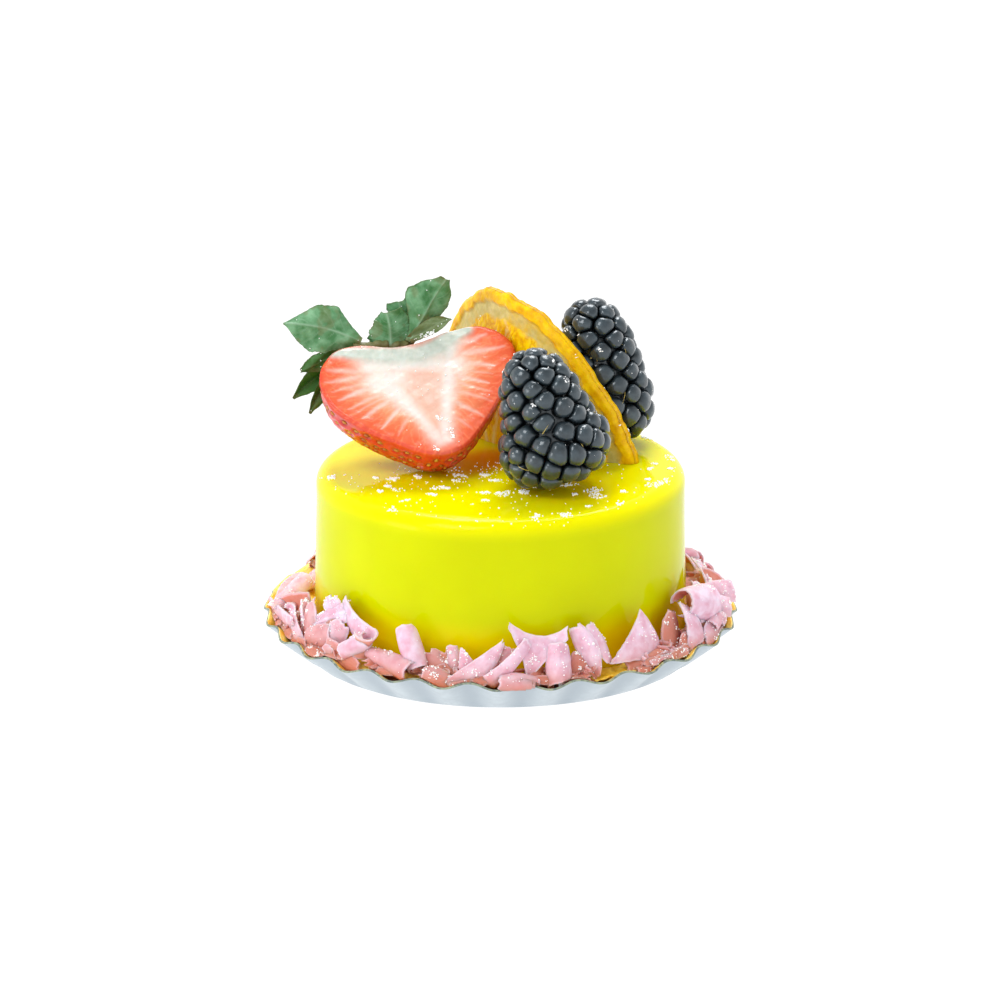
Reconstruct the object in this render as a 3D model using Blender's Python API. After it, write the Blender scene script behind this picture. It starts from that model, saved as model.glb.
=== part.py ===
"""Individual passion fruit mousse cake in its fluted card case.

A glazed round of mousse stands in a foil-lined card case. Half a strawberry with its leaves, a half slice of
dried orange and two bramble berries stand on it, and curled chocolate shavings fill the ring round its foot.

Units are metres, +Z is up, and the origin is the middle of the case's underside. -Y is the front. A place on
the ring is given as degrees round from the front towards +X, distance from the axis and height above the table.
"""

import math
import random
from typing import NamedTuple

import bmesh
import bpy
import numpy as np

MM = 0.001
GAP = 0.3 * MM  # clear space between pieces that touch

# Card case
CASE_RIM_RADIUS = 45.7 * MM
CASE_FOOT_RADIUS = 38.4 * MM
CASE_HEIGHT = 6.5 * MM
CARD_THICKNESS = 0.7 * MM
FLUTES = 28
FLUTE_DEPTH = 0.7 * MM  # at the rim, either way along the wall's normal
FLUTE_DEPTH_FOOT = 0.25 * MM
FLUTE_PHASE = math.radians(5.5)
STEPS_PER_FLUTE = 4

# Cake
CAKE_TOP = 35.4 * MM  # above the table
CAKE_TOP_RADIUS = 35.6 * MM
CAKE_FOOT_RADIUS = 36.6 * MM
CAKE_EDGE = 3.0 * MM  # rounding of the glaze at the top edge
CAKE_TILT = 0.006  # rise of the top towards +X
CAKE_SEGMENTS = 56
CAKE_EDGE_STEPS = 4

# Half strawberry: its cut face is a plane that rises from the tip towards the leaves
BERRY_TIP = (-12.4 * MM, -13.4 * MM)
BERRY_TILT = math.radians(38)
BERRY_YAW = math.radians(9)
BERRY_DEPTH = 14.0 * MM
BERRY_FULLNESS = 0.75  # 1 gives an oval belly, less a fuller one
BERRY_SEGMENTS = 44
BERRY_BELLY_STEPS = 6
BERRY_MIDDLE = (15.5 * MM, -1.0 * MM)
# The cut face's outline in mm: towards the leaves and across, from the tip round by the right shoulder
BERRY_OUTLINE = (
    (0, 0), (1.6, 6), (8, 11.4), (15, 15.4), (22, 18.2), (26.5, 17.2), (29.5, 12.5), (28.6, 6),
    (26.3, 0), (25.4, -6), (26.2, -12), (24.6, -17), (19.5, -20), (12.6, -18.6), (7, -13), (2.6, -6),
)

COLLAR_CENTRE = (-23.4 * MM, 10.2 * MM, 55.4 * MM)  # the green collar that the leaves grow from
COLLAR_HALF_WIDTH = 7.4 * MM
COLLAR_HALF_HEIGHT = 2.6 * MM
COLLAR_HALF_DEPTH = 1.2 * MM

# Half slice of dried orange, standing on its cut edge
ORANGE_RADIUS = 29.3 * MM
ORANGE_CENTRE = (-1.1 * MM, 14.8 * MM, 36.5 * MM)
ORANGE_YAW = math.radians(47.8)
ORANGE_LEAN = math.radians(2.8)
ORANGE_RIND = 5.5 * MM  # rind and pith together
ORANGE_SUNK = 5.0 * MM  # how far the cut edge lies below the slice's middle
ORANGE_DRAWN_IN = 0.35  # how far the far side has shrunk in
ORANGE_HALF_THICKNESS = 1.3 * MM
ORANGE_STEPS = 30
# How the slice bends out of its plane, in mm at one radius from its middle: along the cut edge squared, along
# times up, up squared, and along cubed
ORANGE_BEND = (-8.9, 5.2, -0.3, -2.0)

# Bramble berries
RIM_INSET = 0.55  # mm, from a drupelet's edge to its dome
RIM_RISE = 1.0  # mm
DOME_RISE = 0.5  # mm, of the dome's middle above its rim
GOLDEN_ANGLE = math.pi * (3 - math.sqrt(5))

# Chocolate shavings
SHAVING_THICKNESS = 0.9 * MM
# The bank that they lie on, as (distance from the axis, height) in mm: it fills the case beside the cake
BANK = ((37.2, 1.2), (37.6, 1.2), (43.3, 6.9), (43.1, 7.5), (40.5, 7.6), (37.2, 6.8))
BANK_SEGMENTS = 32
TUBE_WRAP = 200  # degrees; a strip that wraps round more than this is placed by the tube's middle line
DEGREES_PER_COLUMN = 78
HEAP_SEED = 7

FLAT_ENOUGH = math.radians(4)  # faces of a joined piece that bend less than this are made one


class Place(NamedTuple):
    """A point of the ring: degrees round from the front, millimetres from the axis, millimetres up."""

    turn: float
    out: float
    up: float

    def point(self):
        """The point in metres."""
        angle = math.radians(self.turn)
        return np.array([self.out * math.sin(angle), -self.out * math.cos(angle), self.up]) * MM


class Shaving(NamedTuple):
    """A curled shaving: a strip of a cone's surface about the line from foot to head."""

    foot: Place
    head: Place
    radius_foot: float  # mm
    radius_head: float  # mm
    wrap_foot: float  # degrees of the cone that the strip covers
    wrap_head: float
    faces: float  # degrees round the line from outwards to the strip's middle


class Bramble(NamedTuple):
    """A bramble berry: where its stem end stands, its size, and how far it leans."""

    name: str
    stand: tuple  # mm
    length: float  # mm
    radius: float  # mm
    lean_left: float  # degrees
    lean_back: float  # degrees
    drupelets: int
    seed: int


class Sepal(NamedTuple):
    """A leaf of the strawberry: its middle line runs from root through bend to tip, all in mm."""

    root: tuple
    bend: tuple
    tip: tuple
    width: float
    widest: float  # share of the way from root to tip
    side: tuple  # direction across the blade
    cup: float  # height of the blade's edges above its middle line, as a share of its width


BRAMBLES = (
    Bramble("bramble_front", (12.2, -14.4), 25.8, 10.6, 12.0, 1.0, 92, 3),
    Bramble("bramble_back", (22.3, 13.2), 28.2, 9.1, 13.0, 1.0, 84, 5),
)

SEPALS = (
    Sepal((-27.0, 8.6, 57.6), (-33.6, 8.0, 61.5), (-41.8, 6.0, 62.1), 9.6, 0.55, (0.25, 0.3, 1.0), 0.10),
    Sepal((-21.2, 9.2, 56.6), (-21.2, 11.0, 60.0), (-22.2, 8.5, 63.5), 8.4, 0.5, (1.0, 0.1, 0.15), 0.16),
    Sepal((-19.2, 10.0, 56.6), (-18.4, 12.5, 60.5), (-19.9, 10.5, 64.7), 6.0, 0.6, (1.0, 0.1, 0.2), 0.12),
    Sepal((-17.6, 9.8, 57.2), (-15.1, 12.5, 62.1), (-10.5, 10.0, 69.8), 9.0, 0.62, (1.0, 0.2, -0.5), 0.12),
    Sepal((-17.6, 10.0, 57.6), (-13.1, 10.6, 60.3), (-9.5, 9.6, 61.9), 3.4, 0.5, (0.4, 0.4, 1.0), 0.10),
    Sepal((-28.0, 10.2, 55.4), (-33.7, 8.6, 54.3), (-38.5, 5.0, 52.8), 4.6, 0.6, (0.3, 0.2, 1.0), 0.12),
    Sepal((-28.0, 10.8, 54.4), (-35.7, 9.4, 51.7), (-40.0, 4.4, 47.5), 5.0, 0.6, (0.6, 0.3, -0.9), 0.12),
    Sepal((-27.0, 11.2, 53.8), (-34.5, 9.8, 50.0), (-36.8, 3.6, 44.7), 4.4, 0.6, (0.8, 0.3, -0.6), 0.12),
)


def remove_objects():
    """Clears the scene of its objects."""
    for thing in list(bpy.data.objects):
        bpy.data.objects.remove(thing, do_unlink=True)


def make_material(name, colour, roughness, metallic=0.0):
    """A Principled material of one colour, given as linear red, green and blue."""
    material = bpy.data.materials.new(name)
    material.use_nodes = True
    shader = material.node_tree.nodes["Principled BSDF"]
    shader.inputs["Base Color"].default_value = (*colour, 1.0)
    shader.inputs["Roughness"].default_value = roughness
    shader.inputs["Metallic"].default_value = metallic
    return material


def make_object(name, bm, material, sharp_degrees=40):
    """An object of the bmesh, shaded smooth up to the given angle."""
    bmesh.ops.recalc_face_normals(bm, faces=bm.faces)
    mesh = bpy.data.meshes.new(name)
    bm.to_mesh(mesh)
    bm.free()
    mesh.shade_smooth()
    mesh.set_sharp_from_angle(angle=math.radians(sharp_degrees))
    mesh.materials.append(material)
    thing = bpy.data.objects.new(name, mesh)
    bpy.context.scene.collection.objects.link(thing)
    return thing


def add_rings(bm, rings, closed_tube=False):
    """Adds a surface through rings of points; its ends meet at a point each, or the last ring joins the first."""
    count, around = rings.shape[:2]
    verts = [[bm.verts.new(point) for point in ring] for ring in rings]
    for row in range(count if closed_tube else count - 1):
        low, high = verts[row], verts[(row + 1) % count]
        for k in range(around):
            after = (k + 1) % around
            bm.faces.new((low[k], low[after], high[after]))
            bm.faces.new((low[k], high[after], high[k]))
    if closed_tube:
        return
    for ring, points in ((verts[0], rings[0]), (verts[-1], rings[-1])):
        pole = bm.verts.new(points.mean(axis=0))
        for k in range(around):
            bm.faces.new((ring[k], ring[(k + 1) % around], pole))


def add_sheet(bm, front, back):
    """Adds a closed sheet between two grids of points, both split into triangles alike."""
    rows, columns = front.shape[:2]
    verts = [[[bm.verts.new(p) for p in line] for line in grid] for grid in (front, back)]
    for side in verts:
        for i in range(rows - 1):
            for j in range(columns - 1):
                bm.faces.new((side[i][j], side[i + 1][j], side[i + 1][j + 1]))
                bm.faces.new((side[i][j], side[i + 1][j + 1], side[i][j + 1]))
    edge = [(i, 0) for i in range(rows)]
    edge += [(rows - 1, j) for j in range(1, columns)]
    edge += [(i, columns - 1) for i in range(rows - 2, -1, -1)]
    edge += [(0, j) for j in range(columns - 2, 0, -1)]
    for (i, j), (m, n) in zip(edge, edge[1:] + edge[:1]):
        bm.faces.new((verts[0][i][j], verts[0][m][n], verts[1][m][n]))
        bm.faces.new((verts[0][i][j], verts[1][m][n], verts[1][i][j]))


def turned(profile, around):
    """Rings of points from a profile of (radius, height) pairs."""
    angle = np.linspace(0, 2 * math.pi, around, endpoint=False)
    radius, height = np.array(profile).T
    x = radius[:, None] * np.cos(angle)
    y = radius[:, None] * np.sin(angle)
    z = np.broadcast_to(height[:, None], x.shape)
    return np.stack([x, y, z], axis=-1)


def join_all(name, shapes, material):
    """One object: the Boolean union of the first shape with the others, which are then removed."""
    others = bpy.data.collections.new(name + "_pieces")
    bpy.context.scene.collection.children.link(others)
    for shape in shapes[1:]:
        bpy.context.scene.collection.objects.unlink(shape)
        others.objects.link(shape)
    whole = shapes[0]
    union = whole.modifiers.new("union", "BOOLEAN")
    union.operation = "UNION"
    union.operand_type = "COLLECTION"
    union.collection = others
    apply_modifiers(whole)
    for shape in shapes[1:]:
        bpy.data.objects.remove(shape, do_unlink=True)
    bpy.data.collections.remove(others)
    whole.name = name
    whole.data.materials.clear()
    whole.data.materials.append(material)
    return whole


def apply_modifiers(thing):
    """Replaces the object's mesh by the one that its modifiers give."""
    graph = bpy.context.evaluated_depsgraph_get()
    mesh = bpy.data.meshes.new_from_object(thing.evaluated_get(graph))
    thing.modifiers.clear()
    thing.data = mesh


def drop_scraps(thing):
    """Keeps only the largest connected piece of the object's mesh."""
    bm = bmesh.new()
    bm.from_mesh(thing.data)
    unseen = set(bm.verts)
    pieces = []
    while unseen:
        piece = {unseen.pop()}
        edge = list(piece)
        while edge:
            near = {e.other_vert(v) for v in edge for e in v.link_edges} & unseen
            unseen -= near
            piece |= near
            edge = list(near)
        pieces.append(piece)
    pieces.sort(key=len, reverse=True)
    for piece in pieces[1:]:
        bmesh.ops.delete(bm, geom=list(piece), context="VERTS")
    bm.to_mesh(thing.data)
    bm.free()


def merge_flat(thing):
    """Makes one face of neighbours that lie nearly in a plane."""
    bm = bmesh.new()
    bm.from_mesh(thing.data)
    bmesh.ops.dissolve_limit(bm, angle_limit=FLAT_ENOUGH, verts=bm.verts, edges=bm.edges)
    bmesh.ops.triangulate(bm, faces=bm.faces)
    bm.to_mesh(thing.data)
    bm.free()


def cake_radius(height):
    """The cake's radius below its rounded edge, at a height above the table."""
    share = np.clip((CAKE_TOP - height) / CAKE_TOP, 0, 1)
    return CAKE_TOP_RADIUS + (CAKE_FOOT_RADIUS - CAKE_TOP_RADIUS) * share**2


def cake_surface(x, y):
    """Height of the cake's top over a point of the plan, out to its edge."""
    past = np.clip(np.hypot(x, y) - (CAKE_TOP_RADIUS - CAKE_EDGE), 0, CAKE_EDGE)
    return CAKE_TOP + CAKE_TILT * x - CAKE_EDGE + np.sqrt(CAKE_EDGE**2 - past**2)


def case_inner_height(radius):
    """Height of the case's inner face at a distance from the axis, at its highest flute."""
    slope = CASE_HEIGHT / (CASE_RIM_RADIUS - CASE_FOOT_RADIUS)
    share = np.clip((radius - CASE_FOOT_RADIUS) / (CASE_RIM_RADIUS - CASE_FOOT_RADIUS), 0, 1)
    depth = FLUTE_DEPTH_FOOT + (FLUTE_DEPTH - FLUTE_DEPTH_FOOT) * share
    wall = (radius - CASE_FOOT_RADIUS) * slope + (CARD_THICKNESS + depth) * math.hypot(1, slope)
    return np.maximum(CARD_THICKNESS, wall)


def build_case():
    """The card case: a round floor with a flared wall, fluted to its rim."""
    around = FLUTES * STEPS_PER_FLUTE
    angle = np.linspace(0, 2 * math.pi, around, endpoint=False)
    wave = np.cos(FLUTES * (angle + math.pi / 2 - FLUTE_PHASE))
    flare = math.atan2(CASE_HEIGHT, CASE_RIM_RADIUS - CASE_FOOT_RADIUS)
    inward, upward = -math.sin(flare), math.cos(flare)

    def ring(share, lift):
        """A ring of the wall: share of the way from foot to rim, and lift from the outer face."""
        depth = FLUTE_DEPTH_FOOT + (FLUTE_DEPTH - FLUTE_DEPTH_FOOT) * share
        off = lift + depth * min(1, share * 6) * wave
        radius = CASE_FOOT_RADIUS + (CASE_RIM_RADIUS - CASE_FOOT_RADIUS) * share + inward * off
        height = CASE_HEIGHT * share + upward * off
        return np.stack([radius * np.cos(angle), radius * np.sin(angle), height], axis=-1)

    shares = (0.18, 0.6, 1.0)
    outer = [turned([(CASE_FOOT_RADIUS, 0.0)], around)[0]] + [ring(s, 0.0) for s in shares]
    inner = [ring(s, CARD_THICKNESS) for s in reversed(shares)]
    floor_radius = CASE_FOOT_RADIUS - CARD_THICKNESS * 0.5
    inner.append(turned([(floor_radius, CARD_THICKNESS)], around)[0])
    bm = bmesh.new()
    add_rings(bm, np.array(outer + inner))
    return make_object("paper_case", bm, make_material("white_card", (0.58, 0.67, 0.72), 0.5), 50)


def build_cake():
    """The glazed mousse round, with the slot that the orange slice stands in."""
    foot = CARD_THICKNESS + GAP
    heights = np.linspace(foot + 1.2 * MM, CAKE_TOP - CAKE_EDGE, 3)
    profile = [(CAKE_FOOT_RADIUS - 1.0 * MM, foot)]
    profile += [(float(cake_radius(z)), float(z)) for z in heights]
    for step in range(1, CAKE_EDGE_STEPS + 1):
        bend = math.pi / 2 * step / CAKE_EDGE_STEPS
        radius = CAKE_TOP_RADIUS - CAKE_EDGE * (1 - math.cos(bend))
        profile.append((radius, CAKE_TOP - CAKE_EDGE * (1 - math.sin(bend))))
    profile.append((CAKE_TOP_RADIUS * 0.5, CAKE_TOP))
    rings = turned(profile, CAKE_SEGMENTS)
    rings[..., 2] += CAKE_TILT * rings[..., 0] * (rings[..., 2] > CAKE_TOP / 2)
    bm = bmesh.new()
    add_rings(bm, rings)
    cake = make_object("cake", bm, make_material("yellow_glaze", (0.80, 0.82, 0.01), 0.15))
    slot = build_orange("slot", GAP)
    cut = cake.modifiers.new("slot", "BOOLEAN")
    cut.operation = "DIFFERENCE"
    cut.object = slot
    apply_modifiers(cake)
    bpy.data.objects.remove(slot, do_unlink=True)
    return cake


def berry_frame():
    """The strawberry's directions: from its tip to its leaves, across to the right, and out of its cut face."""
    along = np.array([
        -math.sin(BERRY_YAW) * math.cos(BERRY_TILT),
        math.cos(BERRY_YAW) * math.cos(BERRY_TILT),
        math.sin(BERRY_TILT),
    ])
    across = np.array([math.cos(BERRY_YAW), math.sin(BERRY_YAW), 0.0])
    return along, across, np.cross(across, along)


def smooth_closed(points, count):
    """Points along a closed Catmull-Rom curve through the given ones."""
    points = np.array(points, float)
    place = np.linspace(0, len(points), count, endpoint=False)
    k = place.astype(int)
    t = (place - k)[:, None]
    p0, p1, p2, p3 = (points[(k + shift) % len(points)] for shift in (-1, 0, 1, 2))
    square, cube = 2 * p0 - 5 * p1 + 4 * p2 - p3, 3 * p1 - p0 - 3 * p2 + p3
    return 0.5 * (2 * p1 + (p2 - p0) * t + square * t**2 + cube * t**3)


def build_strawberry():
    """Half a strawberry: a heart-shaped cut face over a rounded belly that rests on the cake."""
    outline = smooth_closed(BERRY_OUTLINE, BERRY_SEGMENTS) * MM
    middle = np.array(BERRY_MIDDLE)
    along, across, outward = berry_frame()
    rings = [(middle + (outline - middle) * share, 0.0) for share in (0.4, 0.75)]
    for step in range(BERRY_BELLY_STEPS):
        bend = math.pi / 2 * step / BERRY_BELLY_STEPS
        shrink, sink = math.cos(bend) ** BERRY_FULLNESS, math.sin(bend) ** BERRY_FULLNESS
        rings.append((middle + (outline - middle) * shrink, -BERRY_DEPTH * sink))
    points = np.array([
        flat[:, :1] * along + flat[:, 1:] * across + depth * outward for flat, depth in rings
    ])
    points[..., :2] += BERRY_TIP
    points[..., 2] += lift_onto_cake(points)
    bm = bmesh.new()
    add_rings(bm, points)
    return make_object("strawberry", bm, make_material("strawberry_flesh", (0.60, 0.09, 0.03), 0.35), 35)


def lift_onto_cake(points):
    """How far points must be raised to rest on the cake's top, a gap above it."""
    surface = cake_surface(points[..., 0], points[..., 1])
    return GAP - (points[..., 2] - surface).min()


def orange_frame():
    """The slice's directions: along its cut edge to the near right, up, and out of its near face."""
    along = np.array([math.cos(ORANGE_YAW), -math.sin(ORANGE_YAW), 0.0])
    back = np.array([math.sin(ORANGE_YAW), math.cos(ORANGE_YAW), 0.0])
    up = np.array([0.0, 0.0, 1.0]) * math.cos(ORANGE_LEAN) + back * math.sin(ORANGE_LEAN)
    return along, up, np.cross(along, up)


def orange_outline(angle):
    """Distance from the slice's centre to its rind; the far side is drawn in, as it shrank in drying."""
    past = np.clip((angle - math.pi / 2) / (math.pi / 2), 0, 1)
    return ORANGE_RADIUS * (1 - ORANGE_DRAWN_IN * past**2.2)


def orange_warp(u, v):
    """How far the dried slice bends out of its plane."""
    a, b = u / ORANGE_RADIUS, v / ORANGE_RADIUS
    square, twist, upright, cubic = ORANGE_BEND
    return (square * a**2 + twist * a * b + upright * b**2 + cubic * a**3) * MM


def build_orange(name="orange_slice", swell=0.0):
    """The half slice: flesh between thick rind, bent as it dried. Swell moves every face out, for the slot."""
    angle = np.linspace(0, math.pi, ORANGE_STEPS)
    rim = orange_outline(angle)
    inner = rim - ORANGE_RIND
    # Each ring's share of a radius, that radius, and its share of the half thickness
    rings = ((0.02, inner, 0.75), (0.5, inner, 0.75), (1.0, inner, 0.7), (1.06, inner, 0.95), (1.0, rim, 0.9))
    radii = np.array([share * base for share, base, _ in rings])
    radii[-1] += swell
    half = np.array([ORANGE_HALF_THICKNESS * part + swell for _, _, part in rings])
    u, v = radii * np.cos(angle), radii * np.sin(angle)
    sunk = ORANGE_SUNK + swell
    v = v * (1 + sunk / ORANGE_RADIUS) - sunk
    along, up, outward = orange_frame()
    middle = np.array(ORANGE_CENTRE) + u[..., None] * along + v[..., None] * up
    middle = middle + orange_warp(u, v)[..., None] * outward
    offset = half[:, None, None] * outward
    bm = bmesh.new()
    add_sheet(bm, middle + offset, middle - offset)
    return make_object(name, bm, make_material("dried_orange", (0.75, 0.42, 0.02), 0.35), 50)


def blade(sepal, rows=5, columns=3, thickness=0.6 * MM):
    """Front and back grids of a leaf blade: a bent middle line, widest past its root, with raised edges."""
    root, bend, tip, side = (np.array(v, float) for v in (sepal.root, sepal.bend, sepal.tip, sepal.side))
    t = np.linspace(0, 1, rows)[:, None]
    line = (root * (1 - t) ** 2 + 2 * bend * t * (1 - t) + tip * t**2) * MM
    run = 2 * (bend - root) * (1 - t) + 2 * (tip - bend) * t
    normal = np.cross(run, side)
    normal /= np.linalg.norm(normal, axis=1, keepdims=True)
    across = np.cross(normal, run)
    across /= np.linalg.norm(across, axis=1, keepdims=True)
    below, above = np.clip(1 - t / sepal.widest, 0, 1), np.clip((t - sepal.widest) / (1 - sepal.widest), 0, 0.98)
    width = sepal.width * MM * (1 - 0.6 * below**1.6) * (1 - above**1.8)
    s = np.linspace(-0.5, 0.5, columns)[None, :, None]
    lift = (sepal.cup * sepal.width * MM) * (2 * s) ** 2
    lift = lift + 0.35 * MM * np.sin(9 * t[:, :, None] + 5 * s)
    middle = line[:, None] + s * width[:, None] * across[:, None] + lift * normal[:, None]
    offset = 0.5 * thickness * normal[:, None]
    return middle + offset, middle - offset


def build_calyx():
    """The strawberry's leaves, joined by the green collar that they grow from."""
    material = make_material("strawberry_leaf", (0.12, 0.30, 0.08), 0.5)
    bm = bmesh.new()
    collar = turned([(0.5, -1.0), (0.96, -0.6), (1.0, 0.2), (0.45, 1.0)], 12)
    along, across, outward = berry_frame()
    collar = (
        np.array(COLLAR_CENTRE)
        + collar[..., :1] * COLLAR_HALF_WIDTH * across
        + collar[..., 1:2] * COLLAR_HALF_HEIGHT * outward
        + collar[..., 2:] * COLLAR_HALF_DEPTH * along
    )
    add_rings(bm, collar)
    shapes = [make_object("collar", bm, material)]
    for number, sepal in enumerate(SEPALS):
        bm = bmesh.new()
        add_sheet(bm, *blade(sepal))
        shapes.append(make_object(f"sepal_{number}", bm, material))
    calyx = join_all("strawberry_calyx", shapes, material)
    drop_scraps(calyx)
    return calyx


def berry_body(share, radius, length):
    """Radius and height of a bramble's body at a share of its outline, from its tip to its flat stem end."""
    widest = 0.36 * length
    bend = 0.5 * math.pi * np.clip(share / 0.55, 0, 1)
    low = 0.5 * math.pi * np.clip((share - 0.55) / 0.45, 0, 1)
    r = np.where(share < 0.55, np.sin(bend) ** 0.9, np.cos(low) ** 0.55)
    z = np.where(share < 0.55, widest + (length - widest) * np.cos(bend) ** 1.05, widest * (1 - np.sin(low) ** 0.8))
    return radius * r, z


def drupelet_centres(berry):
    """Points spread evenly over a bramble's body: equal areas along it, turned by the golden angle."""
    fine = np.linspace(0.0, 1.0, 400)
    r, z = berry_body(fine, berry.radius, berry.length)
    strip = np.hypot(np.diff(r), np.diff(z)) * (r[1:] + r[:-1])
    area = np.concatenate([[0], np.cumsum(strip)])
    draw = random.Random(berry.seed)
    points = []
    for k in range(berry.drupelets):
        share = np.interp((k + 0.5 + draw.uniform(-0.2, 0.2)) / berry.drupelets, area / area[-1], fine)
        angle = k * GOLDEN_ANGLE + draw.uniform(-0.08, 0.08)
        r, z = berry_body(share, berry.radius, berry.length)
        points.append((r * math.cos(angle), r * math.sin(angle), z))
    return np.array(points)


def build_bramble(berry, material):
    """A bramble berry: one domed drupelet on each cell between the points spread over its body."""
    hull = bmesh.new()
    for point in drupelet_centres(berry):
        hull.verts.new(point)
    bmesh.ops.convex_hull(hull, input=hull.verts)
    hull.normal_update()
    bm = bmesh.new()
    corners = {f: bm.verts.new(f.calc_center_median() - f.normal * RIM_INSET) for f in hull.faces}
    for vert in (v for v in hull.verts if v.link_faces):
        axis = vert.normal
        start = (vert.link_faces[0].calc_center_median() - vert.co).cross(axis)
        other = axis.cross(start)
        order = sorted(
            vert.link_faces,
            key=lambda f: math.atan2(
                (f.calc_center_median() - vert.co).dot(other), (f.calc_center_median() - vert.co).dot(start)
            ),
        )
        bm.faces.new([corners[f] for f in order])
    bmesh.ops.recalc_face_normals(bm, faces=bm.faces)
    cells = list(bm.faces)
    bmesh.ops.inset_individual(bm, faces=cells, thickness=RIM_INSET, depth=RIM_RISE, use_even_offset=True)
    bmesh.ops.poke(bm, faces=cells, offset=DOME_RISE)
    lean_x = math.radians(-berry.lean_left)
    lean_y = math.radians(-berry.lean_back)
    turn = np.array([
        [math.cos(lean_x), 0, math.sin(lean_x)],
        [0, 1, 0],
        [-math.sin(lean_x), 0, math.cos(lean_x)],
    ]) @ np.array([
        [1, 0, 0],
        [0, math.cos(lean_y), -math.sin(lean_y)],
        [0, math.sin(lean_y), math.cos(lean_y)],
    ])
    points = np.array([v.co for v in bm.verts]) @ turn.T * MM
    points[:, :2] += np.array(berry.stand) * MM
    points[:, 2] += lift_onto_cake(points)
    for vert, point in zip(bm.verts, points):
        vert.co = point
    return make_object(berry.name, bm, material, 60)


# The shavings that show at the front, from the left round to the right
FRONT_SHAVINGS = (
    Shaving(Place(-96, 43.4, 8.0), Place(-76, 40.2, 13.0), 3.6, 3.2, 180, 150, -50),
    Shaving(Place(-86, 42.6, 8.0), Place(-70, 39.8, 15.0), 5.0, 5.0, 70, 50, -50),
    Shaving(Place(-74, 43.6, 7.0), Place(-68, 40.5, 11.5), 3.2, 2.6, 150, 120, 20),
    Shaving(Place(-63, 43.5, 5.5), Place(-70, 42.0, 12.0), 2.0, 1.5, 90, 70, 10),
    Shaving(Place(-60, 42.0, 5.5), Place(-64, 40.0, 12.6), 4.0, 4.0, 60, 50, 0),
    Shaving(Place(-58, 40.5, 8.5), Place(-47.5, 38.9, 14.0), 6.0, 6.0, 42, 42, -10),
    Shaving(Place(-38, 41.0, 8.0), Place(-50, 38.6, 15.4), 2.6, 3.2, 110, 80, 40),
    Shaving(Place(-38.5, 43.0, 9.0), Place(-34.0, 39.5, 10.2), 2.3, 2.3, 230, 230, 90),
    Shaving(Place(-44.5, 43.5, 7.0), Place(-37, 41.5, 9.6), 1.8, 2.2, 330, 330, 0),
    Shaving(Place(-57, 43.8, 5.5), Place(-49, 42.3, 7.6), 4.0, 5.0, 50, 50, 0),
    Shaving(Place(-48, 42.6, 6.5), Place(-37, 43.4, 4.6), 3.0, 3.0, 60, 60, -20),
    Shaving(Place(-37.5, 41.4, 6.3), Place(-23.2, 43.0, 6.6), 1.5, 2.4, 330, 330, 180),
    Shaving(Place(-21.5, 42.2, 5.5), Place(-27.2, 39.2, 13.8), 2.0, 1.8, 330, 300, 180),
    Shaving(Place(-14.5, 42.5, 4.0), Place(-20, 39.8, 9.0), 3.2, 3.0, 100, 80, 20),
    Shaving(Place(-12.6, 41.0, 6.0), Place(-13.6, 39.0, 12.0), 2.2, 1.6, 140, 90, 0),
    Shaving(Place(-7.8, 42.5, 5.0), Place(-10.4, 40.0, 12.2), 3.0, 1.2, 90, 20, 0),
    Shaving(Place(-19, 43.8, 6.4), Place(-12.3, 43.8, 5.6), 2.6, 2.6, 110, 110, -60),
    Shaving(Place(-12.7, 43.2, 5.4), Place(0.4, 38.8, 13.2), 1.8, 0.8, 180, 60, -20),
    Shaving(Place(-2.0, 43.6, 5.0), Place(7.2, 39.4, 13.0), 1.4, 1.2, 150, 90, 0),
    Shaving(Place(7.4, 42.6, 4.8), Place(9.6, 38.8, 14.6), 6.0, 9.5, 16, 62, 0),
    Shaving(Place(0.6, 43.4, 5.4), Place(10.6, 43.6, 4.9), 1.5, 1.7, 330, 330, 90),
    Shaving(Place(14.8, 43.0, 4.2), Place(15.5, 39.6, 12.2), 2.2, 2.1, 330, 300, 180),
    Shaving(Place(24.8, 42.2, 5.6), Place(21.0, 38.9, 14.4), 2.3, 2.6, 120, 110, 30),
    Shaving(Place(28.6, 42.0, 6.6), Place(25.6, 39.0, 14.8), 2.3, 2.3, 110, 90, -30),
    Shaving(Place(38.8, 41.2, 6.4), Place(42.6, 38.8, 15.0), 6.5, 3.0, 92, 6, 0),
    Shaving(Place(34.5, 42.3, 4.8), Place(45, 42.8, 5.0), 2.0, 1.8, 200, 160, -80),
    Shaving(Place(63, 43.0, 7.6), Place(57, 39.9, 13.6), 2.7, 2.5, 340, 340, 0),
    Shaving(Place(67, 42.6, 7.0), Place(70, 39.4, 14.4), 5.0, 4.0, 80, 70, 0),
    Shaving(Place(57.5, 43.0, 4.6), Place(60, 39.8, 13.4), 4.4, 1.0, 150, 40, 0),
    Shaving(Place(51.5, 41.6, 5.2), Place(56, 39.0, 12.4), 3.5, 3.0, 80, 50, 20),
    Shaving(Place(72, 43.6, 6.0), Place(80, 40.2, 13.5), 4.6, 4.2, 80, 70, -10),
    Shaving(Place(66, 43.4, 7.0), Place(74, 43.4, 8.0), 2.0, 2.0, 180, 160, -60),
    Shaving(Place(88, 43.2, 5.0), Place(84, 40.0, 14.5), 4.0, 2.0, 110, 50, 0),
)


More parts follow.
